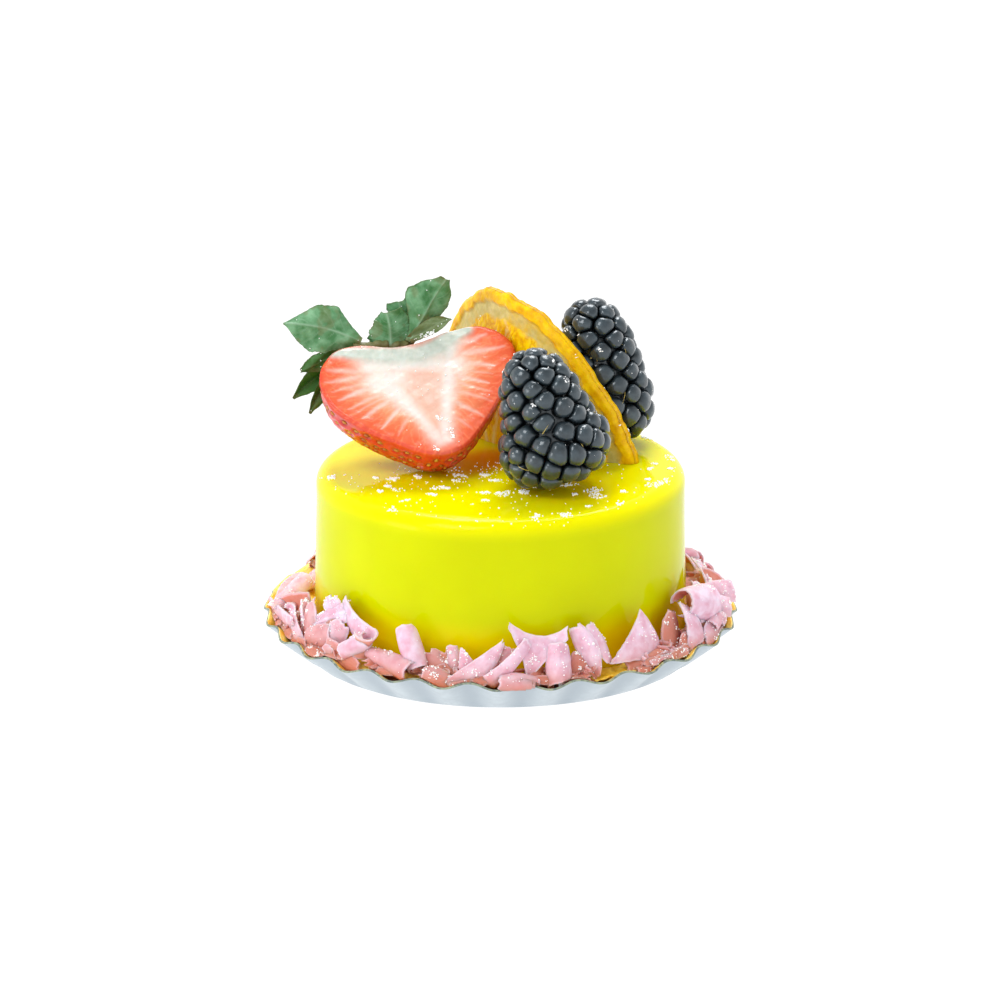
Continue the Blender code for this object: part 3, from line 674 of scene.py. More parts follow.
@dataclass
class PaperCase:
    """The case: a round floor and a flared wall, fluted to its rim; white board outside, gold foil inside."""

    rim_radius: float = 45.7 * MM
    foot_radius: float = 38.4 * MM
    height: float = 6.5 * MM
    board: float = 0.7 * MM  # its thickness, which falls to `edge` over the top of the wall
    edge: float = 0.42 * MM
    flutes: int = 28
    depth: float = 0.68 * MM  # of the flutes at the rim, out and in
    depth_foot: float = 0.25 * MM
    fade: float = 6.0  # the flutes fade out over a sixth of the wall, at its foot
    phase: float = math.radians(5.5)
    uneven: float = 0.12  # share by which flutes differ
    wall_rows: int = 30
    steps_per_flute: int = 20

    def flute(self, angle: Array) -> Array:
        """The cosine that the flutes follow: 1 where a flute stands out and -1 between two."""
        return np.cos(self.flutes * (angle + math.pi / 2 - self.phase))

    def wall(self, share: Array, lift: Array, angle: Array) -> Array:
        """Points of the wall.

        The wall is a cone that swings out and in with the angle: a cosine for each flute, growing from the
        foot to the rim.

        Args:
            share: From foot, 0, to rim, 1; one for each ring.
            lift: Distance of each ring from the outer face.
            angle: Round the case.

        Returns:
            Rings by angles by 3.
        """
        flare = math.atan2(self.height, self.rim_radius - self.foot_radius)
        around = np.stack([np.cos(angle), np.sin(angle)], -1)
        wave = self.flute(angle) + self.uneven * waves(around, 0.5, 3, 2)
        depth = self.depth_foot + (self.depth - self.depth_foot) * share
        off = lift[:, None] + (depth * np.minimum(1, share * self.fade))[:, None] * wave
        slant = self.foot_radius + (self.rim_radius - self.foot_radius) * share[:, None]
        height = self.height * share[:, None] + math.cos(flare) * off
        return round_points(slant - math.sin(flare) * off, angle, height)

    def build(self) -> None:
        """Makes the case: the outer face up to the rim, a thin edge, and the inner face down to the floor."""
        angle = turns(self.flutes * self.steps_per_flute)
        rise = np.linspace(0.03, 1, self.wall_rows)
        inner_lift = self.board + (self.edge - self.board) * ease(rise, 0.86, 1.0)
        edge_lift = [0.15 * self.edge, 0.85 * self.edge]
        lift = np.concatenate([0 * rise, edge_lift, inner_lift[::-1]])
        wall = self.wall(np.concatenate([rise, [1.0, 1.0], rise[::-1]]), lift, angle)
        ring = round_points(1.0, angle, 0.0)
        floor = (0.5, 0.97, 1.0)  # shares of its radius at which the floor has rings
        outer = [ring * (share * self.foot_radius) for share in floor]
        inner_radius = self.foot_radius - 0.5 * self.board
        inner = [ring * (share * inner_radius) + (0, 0, self.board) for share in floor[::-1]]
        grid = np.concatenate([outer, wall, inner])
        # the flute cosine, kept for the board's painted shade
        body = lathe(grid, {"fold": np.broadcast_to(0.5 + 0.5 * self.flute(angle), grid.shape[:2])})
        row = np.arange(len(body.quads)) // len(angle)
        first_edge = len(outer) + len(rise) - 1
        part = np.where(row < first_edge, 0, np.where(row <= first_edge + len(edge_lift), 1, 2))
        body.part = np.concatenate([part, np.repeat([0, 2], len(angle))])
        finishes = [CardWhite().build(), CardEdge().build(), GoldFoil().build()]
        add_piece("card_case", body, finishes, ("paper_case",))


@dataclass
class Cake:
    """The glazed round: a straight side that widens slightly to its foot, and a rounded top edge."""

    top: float = 35.4 * MM
    top_radius: float = 35.6 * MM
    foot_radius: float = 36.6 * MM
    edge: float = 3.0 * MM  # radius of the rounded top edge
    tilt: float = 0.006  # metres that the top rises in a metre to the right
    foot: float = 1.0 * MM
    swell: float = 0.07  # mm by which the poured glaze is uneven
    painted_top_light_from: Pair = (31.5, 35.0)  # mm up, where the side's tone turns into the painted lighter tone of the top
    painted_foot_light_to: Pair = (9.0, 17.0)  # mm up, where the painted golden glow near the foot ends
    painted_fruit_shadow_from: Pair = (31.0, 34.5)  # mm up, where the painted shadow under fruit may show
    around: int = 320
    rows: int = 34  # of the side, and of the top
    bend_rows: int = 16

    def radius(self, height: Array) -> Array:
        """The round's radius below its rounded edge: it grows with the square of the way down."""
        share = np.clip((self.top - height) / self.top, 0, 1)
        return self.top_radius + (self.foot_radius - self.top_radius) * share**2

    def build(self) -> None:
        """Makes the round as one turned surface, with the slow unevenness of poured glaze."""
        angle = turns(self.around)
        side = np.linspace(self.foot + 1.2 * MM, self.top - self.edge, self.rows)
        bend = np.linspace(0, math.pi / 2, self.bend_rows)[1:]
        flat = np.linspace(self.top_radius - self.edge, 1.5 * MM, self.rows)[1:]
        radius = np.concatenate([
            [self.foot_radius - 6 * MM, self.foot_radius - 1.0 * MM], self.radius(side),
            self.top_radius - self.edge * (1 - np.cos(bend)), flat,
        ])
        height = np.concatenate([
            [self.foot, self.foot], side, self.top - self.edge * (1 - np.sin(bend)), 0 * flat + self.top,
        ])
        grid = round_points(radius[:, None], angle, height[:, None])
        grid[..., 2] += self.tilt * grid[..., 0] * ease(height, self.top * 0.5, self.top)[:, None]
        swell = waves(grid, 30 * MM, 4, 2) * self.swell * MM
        grid = grid + ring_normals(grid) * (swell * ease(height, 6 * MM, 14 * MM)[:, None])[..., None]
        add_piece("glazed_round", lathe(grid, self.painted_light_and_shade(grid)), [Glaze().build()], ("cake",))

    def painted_light_and_shade(self, grid: Array) -> dict[str, Array]:
        """The painted light and shade of the glaze at each point.

        The top is painted lighter by its height, the foot takes a painted golden glow, and the painted shadow
        under the fruit is a bell curve, to the fourth power, of how far it is from where a fruit stands.

        Args:
            grid: Points in metres.

        Returns:
            Numbers from 0 to 1 for each point, by the names that the finish reads.
        """
        plan, height = grid[..., :2] / MM, grid[..., 2] / MM
        # painted orange shadow under the fruit
        juice = np.zeros(height.shape)
        for start, end, reach, strength in FRUIT_FEET:
            away = off_line(plan, start, end)[1]
            juice = np.maximum(juice, strength * np.exp(-((away / reach) ** 4)))
        return {
            "level": ease(height, *self.painted_top_light_from), "pool": 1 - ease(height, *self.painted_foot_light_to),
            "juice": juice * ease(height, *self.painted_fruit_shadow_from),
        }


# The strawberry


def smooth_through(points: Array, place: Array, closed: bool = False) -> Array:
    """Points of a Catmull-Rom curve: between two given points, a cubic that also heeds their neighbours.

    Args:
        points: The given points, row by row.
        place: Where along them, counted in points from the first.
        closed: Whether the curve returns to its first point.

    Returns:
        A row for each place.
    """
    last = len(points) - 1
    k = np.floor(place).astype(int) if closed else np.clip(np.floor(place).astype(int), 0, last - 1)
    t = (place - k)[:, None]
    at = [(k + shift) % len(points) if closed else np.clip(k + shift, 0, last) for shift in (-1, 0, 1, 2)]
    p0, p1, p2, p3 = (points[index] for index in at)
    square, cube = 2 * p0 - 5 * p1 + 4 * p2 - p3, 3 * p1 - p0 - 3 * p2 + p3
    return 0.5 * (2 * p1 + (p2 - p0) * t + square * t**2 + cube * t**3)


RAYS = (  # paler lines of the cut face, in mm along it and across: from, to, half widths there, strength
    ((24.5, 5.6), (10, 3.3), (2.3, 1.5), 1), ((13, 3.6), (3.6, 2.3), (1.5, 2), 0.9),
    ((17.5, -7.6), (9.4, -2.2), (3.2, 1.5), 1), ((9.4, -2.2), (3.2, 1.4), (1.4, 2), 0.85),
    ((17.8, -8.8), (18.4, -4.4), (3.6, 2.8), 1), ((21, -10), (20.8, 6), (2.8, 2.8), 1),
    ((12.2, -4.6), (6.3, -9.6), (0.7, 0.16), 0.58), ((16.4, -9.6), (13.4, -17.2), (1.1, 0.16), 0.58),
    ((18.9, -11.5), (17.6, -19.4), (1, 0.16), 0.47), ((13.6, -6.2), (9, -13), (0.9, 0.15), 0.55),
    ((10.4, -3.2), (4.6, -6.6), (0.6, 0.14), 0.31), ((15, -8.2), (11.2, -15.4), (0.8, 0.14), 0.43),
    ((12.8, 4.4), (8.2, 10.4), (0.9, 0.15), 0.47), ((18.4, 5.4), (15.9, 12.4), (1.1, 0.16), 0.47),
    ((15, 4.6), (11.6, 12.6), (0.8, 0.14), 0.31), ((21.2, 6.4), (20, 14), (1.2, 0.2), 0.43),
    ((23, 7.4), (24.4, 16.4), (1.1, 0.25), 0.47), ((9.4, 3.8), (5.4, 7.8), (0.7, 0.14), 0.31),
    ((20, -12.5), (20.6, -18.4), (1.1, 0.3), 0.43), ((24.8, 6.8), (27.6, 13.2), (1.1, 0.3), 0.47),
    ((14.4, -7.4), (10.2, -14.2), (0.5, 0.12), 0.31), ((17.6, -10.4), (15.4, -18.2), (0.7, 0.12), 0.35),
    ((16.8, 5), (13.8, 12.8), (0.6, 0.12), 0.27), ((19.8, 6), (18, 13.4), (0.7, 0.12), 0.27),
)
BAND = (  # the greenish white flesh under the leaves: places along its middle and half widths
    ((24.4, -17.2), 1.2), ((24.0, -12.0), 2.1), ((23.4, -7.0), 2.6), ((23.2, -1.0), 2.6), ((24.6, 3.0), 2.8),
    ((27.2, 6.6), 2.4), ((28.6, 9.6), 1.3),
)
HEART = ((20.0, -4.6), (20.3, 3.8), (12.3, 2.9), (5.6, 1.9), (13.8, -4.6))  # corners of the pink heart


@dataclass
class Strawberry:
    """Half a strawberry, cut face up and to the front, with its achenes in pits over the belly.

    A place on the cut face is how far it lies from the tip towards the leaves, and across to the right.
    """

    tip: Pair = (-12.4 * MM, -13.4 * MM)
    tilt: float = math.radians(38)
    yaw: float = math.radians(9)
    depth: float = 14.0 * MM
    fullness: float = 0.75  # below 1 the belly is fuller than an egg's
    middle: Pair = (15.5 * MM, -1.0 * MM)
    outline: tuple[Pair, ...] = (  # of the cut face, in mm
        (0, 0), (1.6, 6), (8, 11.4), (15, 15.4), (22, 18.2), (26.5, 17.2), (29.5, 12.5), (28.6, 6),
        (26.3, 0), (25.4, -6), (26.2, -12), (24.6, -17), (19.5, -20), (12.6, -18.6), (7, -13), (2.6, -6),
    )
    around: int = 380
    face_rows: int = 96
    belly_rows: int = 90
    fibres: int = 61  # fine pale lines that run out to the rim
    spacing: float = 2.7 * MM  # of the achenes
    pit_radius: float = 0.75 * MM
    pit_depth: float = 0.38  # mm
    achene: Triple = (0.56, 0.34, 0.26)  # mm, half its length, width and thickness

    def frame(self) -> tuple[Array, Array, Array]:
        """The strawberry's own directions, by its tilt and yaw.

        Returns:
            From the tip to the leaves, across to the right, and out of the cut face.
        """
        level = math.cos(self.tilt)
        along = np.array([-math.sin(self.yaw) * level, math.cos(self.yaw) * level, math.sin(self.tilt)])
        across = np.array([math.cos(self.yaw), math.sin(self.yaw), 0.0])
        return along, across, np.cross(across, along)

    def leaned(self, local: Array, height: Array) -> Array:
        """Points, counted from the tip, of places on the cut face and heights above it."""
        return stepped(*zip((local[..., 0], local[..., 1], height), self.frame()))

    def placed(self, local: Array, height: Array) -> Array:
        """Points of places on the cut face and heights above it, standing as low as the CAD solid."""
        belly = self.leaned(*self.belly(np.linspace(0, 1, 40)))
        return self.leaned(local, height) + (*self.tip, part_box("strawberry")[0].z - belly[..., 2].min())

    def rim(self) -> Array:
        """The cut face's outline, in metres."""
        place = np.linspace(0, len(self.outline), self.around, endpoint=False)
        return smooth_through(np.array(self.outline, float), place, closed=True) * MM

    def belly(self, share: Array) -> tuple[Array, Array]:
        """Rings of the belly, which shrink like a cosine as they sink like a sine.

        Args:
            share: How far round from the rim, 0, to the deepest point, 1; one for each ring.

        Returns:
            Their places and their heights.
        """
        bend = share * math.pi / 2
        shrink, sink = np.cos(bend) ** self.fullness, np.sin(bend) ** self.fullness
        middle = np.array(self.middle)
        local = middle + (self.rim() - middle) * shrink[:, None, None]
        return local, np.broadcast_to(-self.depth * sink[:, None], local.shape[:2])

    def near_line(self, places: Array, start: Pair, end: Pair, wide: Pair) -> Array:
        """How close places are to a line: a bell curve of their distance over its half width there."""
        share, away = off_line(places, start, end)
        return bell(away, wide[0] + (wide[1] - wide[0]) * share)

    def heart(self, places: Array) -> Array:
        """How deep places lie in the pink heart: the product of their eased distances from its sides.

        Args:
            places: In mm, along the last axis.

        Returns:
            From 0 to 1 for each place.
        """
        inside = np.ones(places.shape[:-1])
        corners = np.array(HEART)
        for start, end in zip(corners, np.roll(corners, -1, axis=0)):
            inward = unit(np.array([start[1] - end[1], end[0] - start[0]]))
            inward = inward * np.sign(inward @ (corners.mean(axis=0) - start))
            inside = inside * ease((places - start) @ inward, -1.0, 2.0)
        return inside

    def markings(self, local: Array) -> dict[str, Array]:
        """How ripe, how pink and how white each place of the cut face is.

        Ripeness rises with the share of the way from the middle to the rim. White is the greatest of the pale
        lines' bell curves, and green-white that of the band under the leaves.

        Args:
            local: Places in metres, ring by ring.

        Returns:
            Numbers from 0 to 1 for each place, by the names that the finish reads.
        """
        places = local / MM
        places = places + 0.12 * np.stack([waves(places, 5.0, 11), waves(places, 5.0, 12)], axis=-1)
        away = local - np.array(self.middle)
        angle = np.arctan2(away[..., 1], away[..., 0])
        rim = self.rim() - np.array(self.middle)
        rim_angle = np.arctan2(rim[:, 1], rim[:, 0])
        order = np.argsort(rim_angle)
        reach = np.interp(angle, rim_angle[order], np.linalg.norm(rim, axis=-1)[order], period=FULL_TURN)
        share = np.linalg.norm(away, axis=-1) / reach
        rough = waves(places, 5.0, 13)
        blurred = share + 0.05 * rough
        heart = self.heart(places)
        white, band = np.zeros(share.shape), np.zeros(share.shape)
        for start, end, wide, strength in RAYS:
            white = np.maximum(white, strength * self.near_line(places, start, end, wide))
        for (start, wide), (end, wider) in zip(BAND[:-1], BAND[1:]):
            band = np.maximum(band, self.near_line(places, start, end, (wide, wider)))
        fibres = np.clip(np.cos(angle * self.fibres + 3.5 * rough), 0, 1) ** 3 * ease(share, 0.30, 0.5)
        core = 1 - ease(blurred, 0.18, 0.50)
        white = np.clip(np.maximum(white * (1 - 0.5 * ease(share, 0.75, 1.0)), 0.5 * core), 0, 1)
        white = white * (1 - 0.85 * heart) + 0.25 * white * heart
        ripe = ease(blurred, 0.12, 0.95) * 0.82 + 0.14 * ease(share, 0.94, 0.995) - 0.16 * fibres
        band = np.clip(band * 1.15, 0, 1) ** 1.5 * (1 - 0.6 * ease(share, 0.965, 1.0))
        return {"ripe": np.clip(ripe, 0, 1), "pith": heart, "white": white, "band": band}

    def achene_spots(self, grid: Array, normals: Array) -> tuple[Array, Array, Array]:
        """Places of the achenes: rows round the belly, one spacing apart, every other row shifted by half.

        Args:
            grid: Points of the belly, ring by ring.
            normals: Their normals.

        Returns:
            Places, normals and directions towards the tip.
        """
        draw = np.random.default_rng(5)
        depth = np.concatenate([[0], np.cumsum(np.linalg.norm(np.diff(grid, axis=0), axis=-1).mean(axis=1))])
        spots = []
        for number, reach in enumerate(np.arange(0.5 * self.spacing, depth[-1], 0.85 * self.spacing)):
            k = int(np.searchsorted(depth, reach))
            ring = grid[min(k, len(grid) - 1)]
            run = np.concatenate([[0], np.cumsum(np.linalg.norm(np.roll(ring, -1, axis=0) - ring, axis=-1))])
            count = max(1, int(run[-1] / self.spacing))
            at = (np.arange(count) + 0.5 * (number % 2) + draw.uniform(-0.22, 0.22, count)) * run[-1] / count
            up = np.clip(k + draw.integers(-1, 2, count), 0, len(grid) - 1)
            spots += [(int(u), int(c) % self.around) for u, c in zip(up, np.searchsorted(run, at % run[-1]))]
        i, j = np.array(spots).T
        along = -self.frame()[0]
        normal = normals[i, j]
        return grid[i, j], normal, unit(along - normal * (normal @ along)[:, None])

    def build(self) -> None:
        """Makes the cut half: its markings raise and sink the face, and bell curves pit the belly."""
        middle = np.array(self.middle)
        share = np.linspace(0.015, 1, self.face_rows)
        local = middle + (self.rim() - middle) * share[:, None, None]
        marks = self.markings(local)
        swell = 0.12 * waves(local / MM, 6.0, 8) - 0.10 * marks["white"] + 0.30 * marks["band"]
        face = self.placed(local, MM * (swell - 0.15 - 0.35 * ease(share, 0.965, 1)[:, None]))
        belly = self.placed(*self.belly(np.linspace(0.03, 0.985, self.belly_rows)))
        normals = ring_normals(belly)
        if np.einsum("ijk,k->", normals, self.frame()[2]) > 0:
            normals = -normals
        spots, spot_normals, towards = self.achene_spots(belly, normals)
        near = np.min(np.linalg.norm(belly[:, :, None] - spots[None, None], axis=-1), axis=-1)
        pit = bell(near, self.pit_radius)
        rise = 0.10 * MM * waves(belly, 3 * MM, 6) - self.pit_depth * MM * pit
        belly = belly + normals * rise[..., None]
        zero = np.zeros(belly.shape[:2])
        values = {name: np.concatenate([v, zero + 1.0 * (name == "ripe")]) for name, v in marks.items()}
        # pit also places the skin's painted shade
        values["pit"] = np.concatenate([np.zeros(face.shape[:2]), pit])
        body = lathe(np.concatenate([face, belly]), values)
        row = np.arange(len(body.quads)) // self.around
        body.part = np.concatenate([np.where(row < len(face), 0, 1), np.repeat([0, 1], self.around)])
        add_piece("half_strawberry", body, [BerryFlesh().build(), BerrySkin().build()],
                  ("strawberry",))
        self.build_achenes(spots, spot_normals, towards)

    def build_achenes(self, spots: Array, normals: Array, towards: Array) -> None:
        """Makes the achenes: teardrops about a millimetre long, half sunk in their pits.

        Args:
            spots: A point for each.
            normals: The belly's normals there.
            towards: The directions in which they point.
        """
        angle = turns(10)
        rise = np.linspace(-0.9, 0.9, 6)
        thick = np.sqrt(1 - rise**2) * (1 - 0.3 * rise)
        long, wide, high = self.achene
        bodies = []
        draw = np.random.default_rng(6)
        for spot, normal, run in zip(spots, normals, towards):
            side = np.cross(normal, run)
            size = draw.uniform(0.8, 1.05)
            grid = (spot - normal * high * MM
                    + size * long * MM * rise[:, None, None] * run
                    + size * wide * MM * thick[:, None, None] * np.cos(angle)[None, :, None] * side
                    + size * high * MM * thick[:, None, None] * np.sin(angle)[None, :, None] * normal)
            bodies.append(lathe(grid, {"tone": np.full(grid.shape[:2], draw.uniform())}))
        add_piece("strawberry_achenes", joined(bodies), [Achene().build()])


@dataclass(frozen=True)
class Sepal:
    """A leaf of the strawberry: its middle line runs from root through bend to tip, in mm.

    `side` points to the edge whose distances from the middle line come first in `edges`; both are given at
    equal steps from root to tip.
    """

    root: Triple
    bend: Triple
    tip: Triple
    side: Triple
    edges: tuple[tuple[float, ...], tuple[float, ...]]
    cup: float = 0.8
    worn: float = 0.0
    dark: float = 0.0


SEPALS = (
    Sepal((-27, 8.6, 57.6), (-33.6, 8, 61.5), (-41.8, 6, 62.1), (0.25, 0.3, 1),
          ((0.9, 2.3, 4.6, 4.1, 1.9, 0.1), (0.9, 3, 4.6, 5, 3.4, 0.2)), 0.9),
    Sepal((-21.2, 9.2, 56.6), (-21.2, 10, 60), (-21.9, 8.9, 63.3), (1, 0.1, 0.15),
          ((3.6, 4.2, 4.2, 4, 3.6, 2.9), (3.8, 4.3, 4, 3.2, 2.2, 1)), 1.4),
    Sepal((-19.2, 10.4, 56.6), (-18.6, 12.5, 60.5), (-19.6, 11, 64.9), (1, 0.1, 0.2),
          ((2, 2.2, 2.3, 2.2, 1.9, 1.4), (2, 2.3, 2.5, 2.6, 2.6, 2.5)), 0.7),
    Sepal((-17.6, 9.8, 57.2), (-15.1, 12.5, 62.1), (-10.5, 10, 69.8), (1, 0.2, -0.5),
          ((0.9, 1.7, 2.8, 3.5, 3.2, 0.9), (0.9, 1.2, 3, 5, 4, 1.1)), 1),
    Sepal((-17.6, 10, 57.6), (-13.1, 10.6, 60.3), (-9.5, 9.6, 61.9), (0.4, 0.4, 1),
          ((0.8, 1.2, 1.6, 1.6, 1.1, 0.1), (0.8, 1.2, 1.6, 1.5, 1, 0.1)), 0.4, 0.6),
    Sepal((-28, 10.2, 55.4), (-33.7, 8.6, 54.3), (-38.5, 5, 52.8), (0.3, 0.2, 1),
          ((0.8, 1.4, 1.7, 1.7, 1.3, 0.4), (0.8, 1.5, 2, 2, 1.4, 0.4)), 0.4, 0.1, 0.8),
    Sepal((-28, 10.8, 54.4), (-35.7, 9.4, 51.7), (-40, 4.4, 47.5), (0.6, 0.3, -0.9),
          ((0.8, 1.6, 2.1, 2.1, 1.5, 0.3), (0.8, 1.6, 2.2, 2.3, 1.7, 0.3)), 0.5, 0.1, 0.9),
    Sepal((-27, 11.2, 53.8), (-34.5, 9.8, 50), (-36.8, 3.6, 44.7), (0.8, 0.3, -0.6),
          ((0.7, 1.4, 1.9, 1.9, 1.4, 0.3), (0.7, 1.4, 1.9, 1.8, 1.3, 0.3)), 0.4, 0.1, 0.9),
)


@dataclass
class Calyx:
    """The strawberry's leaves and the collar that they grow from."""

    centre: Triple = (-23.4 * MM, 10.2 * MM, 55.4 * MM)
    half_width: float = 7.4 * MM
    half_height: float = 2.6 * MM
    half_depth: float = 1.2 * MM
    rows: int = 72
    columns: int = 35
    rib_width: float = 0.22 * MM
    side_veins: int = 6
    collar_grid: tuple[int, int] = (16, 96)

    def blade(self, sepal: Sepal, seed: int) -> Body:
        """A leaf blade: its middle line is a parabola, and its edges keep smooth distances from it.

        It cups with the square of the way from the middle line to an edge, and swings along its length. The
        middle rib is a bell curve of that way, and side veins are sharp peaks of a slanted sine.

        Args:
            sepal: The leaf.
            seed: Of its unevenness.

        Returns:
            The leaf as a closed thin body.
        """
        root, bend, tip, side = (np.array(v) for v in (sepal.root, sepal.bend, sepal.tip, sepal.side))
        t = np.linspace(0, 1, self.rows)[:, None]
        line = (root * (1 - t) ** 2 + 2 * bend * t * (1 - t) + tip * t**2) * MM
        run = unit(2 * (bend - root) * (1 - t) + 2 * (tip - bend) * t)
        normal = unit(np.cross(run, side))
        across = np.cross(normal, run)
        place = np.linspace(0, len(sepal.edges[0]) - 1, self.rows)
        first, second = (smooth_through(np.array(edge)[:, None], place)[:, 0] for edge in sepal.edges)
        rough = 1 + 0.045 * waves(np.stack([place * 2, 0 * place], -1), 1.6, seed)
        first, second = (np.clip(edge * rough, 0.06, None)[:, None] * MM for edge in (first, second))
        s = np.linspace(-1, 1, self.columns)[None, :]
        reach = np.where(s > 0, s * first, s * second)
        far = np.maximum(first, second)
        lift = sepal.cup * s**2 + 0.30 * np.sin(8 * t + 4 * s + seed) + 0.35 * np.abs(s) ** 0.6
        lift = lift * MM * far / far.max()
        slant = np.abs(np.sin((t * self.side_veins - np.abs(s) * 1.6) * math.pi))
        vein = np.maximum(bell(reach, self.rib_width), 0.5 * (1 - slant) ** 7 * (np.abs(s) < 0.93))
        lift = lift - 0.10 * MM * vein
        middle = line[:, None] + reach[..., None] * across[:, None] + lift[..., None] * normal[:, None]
        thick = (0.09 + 0.15 * np.sqrt(np.clip(1 - s**2, 0, 1)) * np.sqrt(np.clip(1 - t, 0, 1))) * MM
        offset = thick[..., None] * normal[:, None]
        rim = np.maximum(ease(np.abs(s) + 0 * t, 0.93, 1.0), ease(t + 0 * s, 0.97, 1.0))
        spots = ease(waves(middle, 5 * MM, seed + 40), 0.55, 0.9)
        worn = np.clip(0.35 * rim + 0.35 * spots + 0.7 * (1 - ease(t, 0.0, 0.10)) + sepal.worn, 0, 1)
        dark = np.clip(sepal.dark + 0.5 * ease(waves(middle, 7 * MM, seed + 60), 0.2, 0.8), 0, 1)
        return sheet(middle + offset, middle - offset, {"vein": vein, "worn": worn, "dark": dark})

    def collar(self) -> Body:
        """The collar: a flattened disc whose edge three sines make ragged.

        Returns:
            The disc as a closed body.
        """
        along, across, outward = Strawberry().frame()
        rows, columns = self.collar_grid
        angle = turns(columns)
        bend = np.linspace(-0.45 * math.pi, 0.45 * math.pi, rows)[:, None]
        ragged = 1 + 0.10 * np.sin(9 * angle) + 0.07 * np.sin(23 * angle + 1) + 0.05 * np.sin(37 * angle)
        ring = round_points(np.cos(bend) ** 0.6, angle, 0.0)[..., :2] * ragged[:, None]
        grid = np.array(self.centre) + stepped(
            (ring[..., 0] * self.half_width, across), (ring[..., 1] * self.half_height, outward),
            (np.broadcast_to(np.sin(bend), self.collar_grid) * self.half_depth, along),
        )
        flat = np.zeros(self.collar_grid)
        return lathe(grid, {"vein": flat, "worn": flat + 0.9, "dark": flat, "inside": flat})

    def build(self) -> None:
        """Makes the leaves with their collar."""
        bodies = [self.blade(sepal, 30 + number) for number, sepal in enumerate(SEPALS)] + [self.collar()]
        add_piece("strawberry_leaves", joined(bodies), [Leaf().build()],
                  ("strawberry_calyx",))


# The orange slice


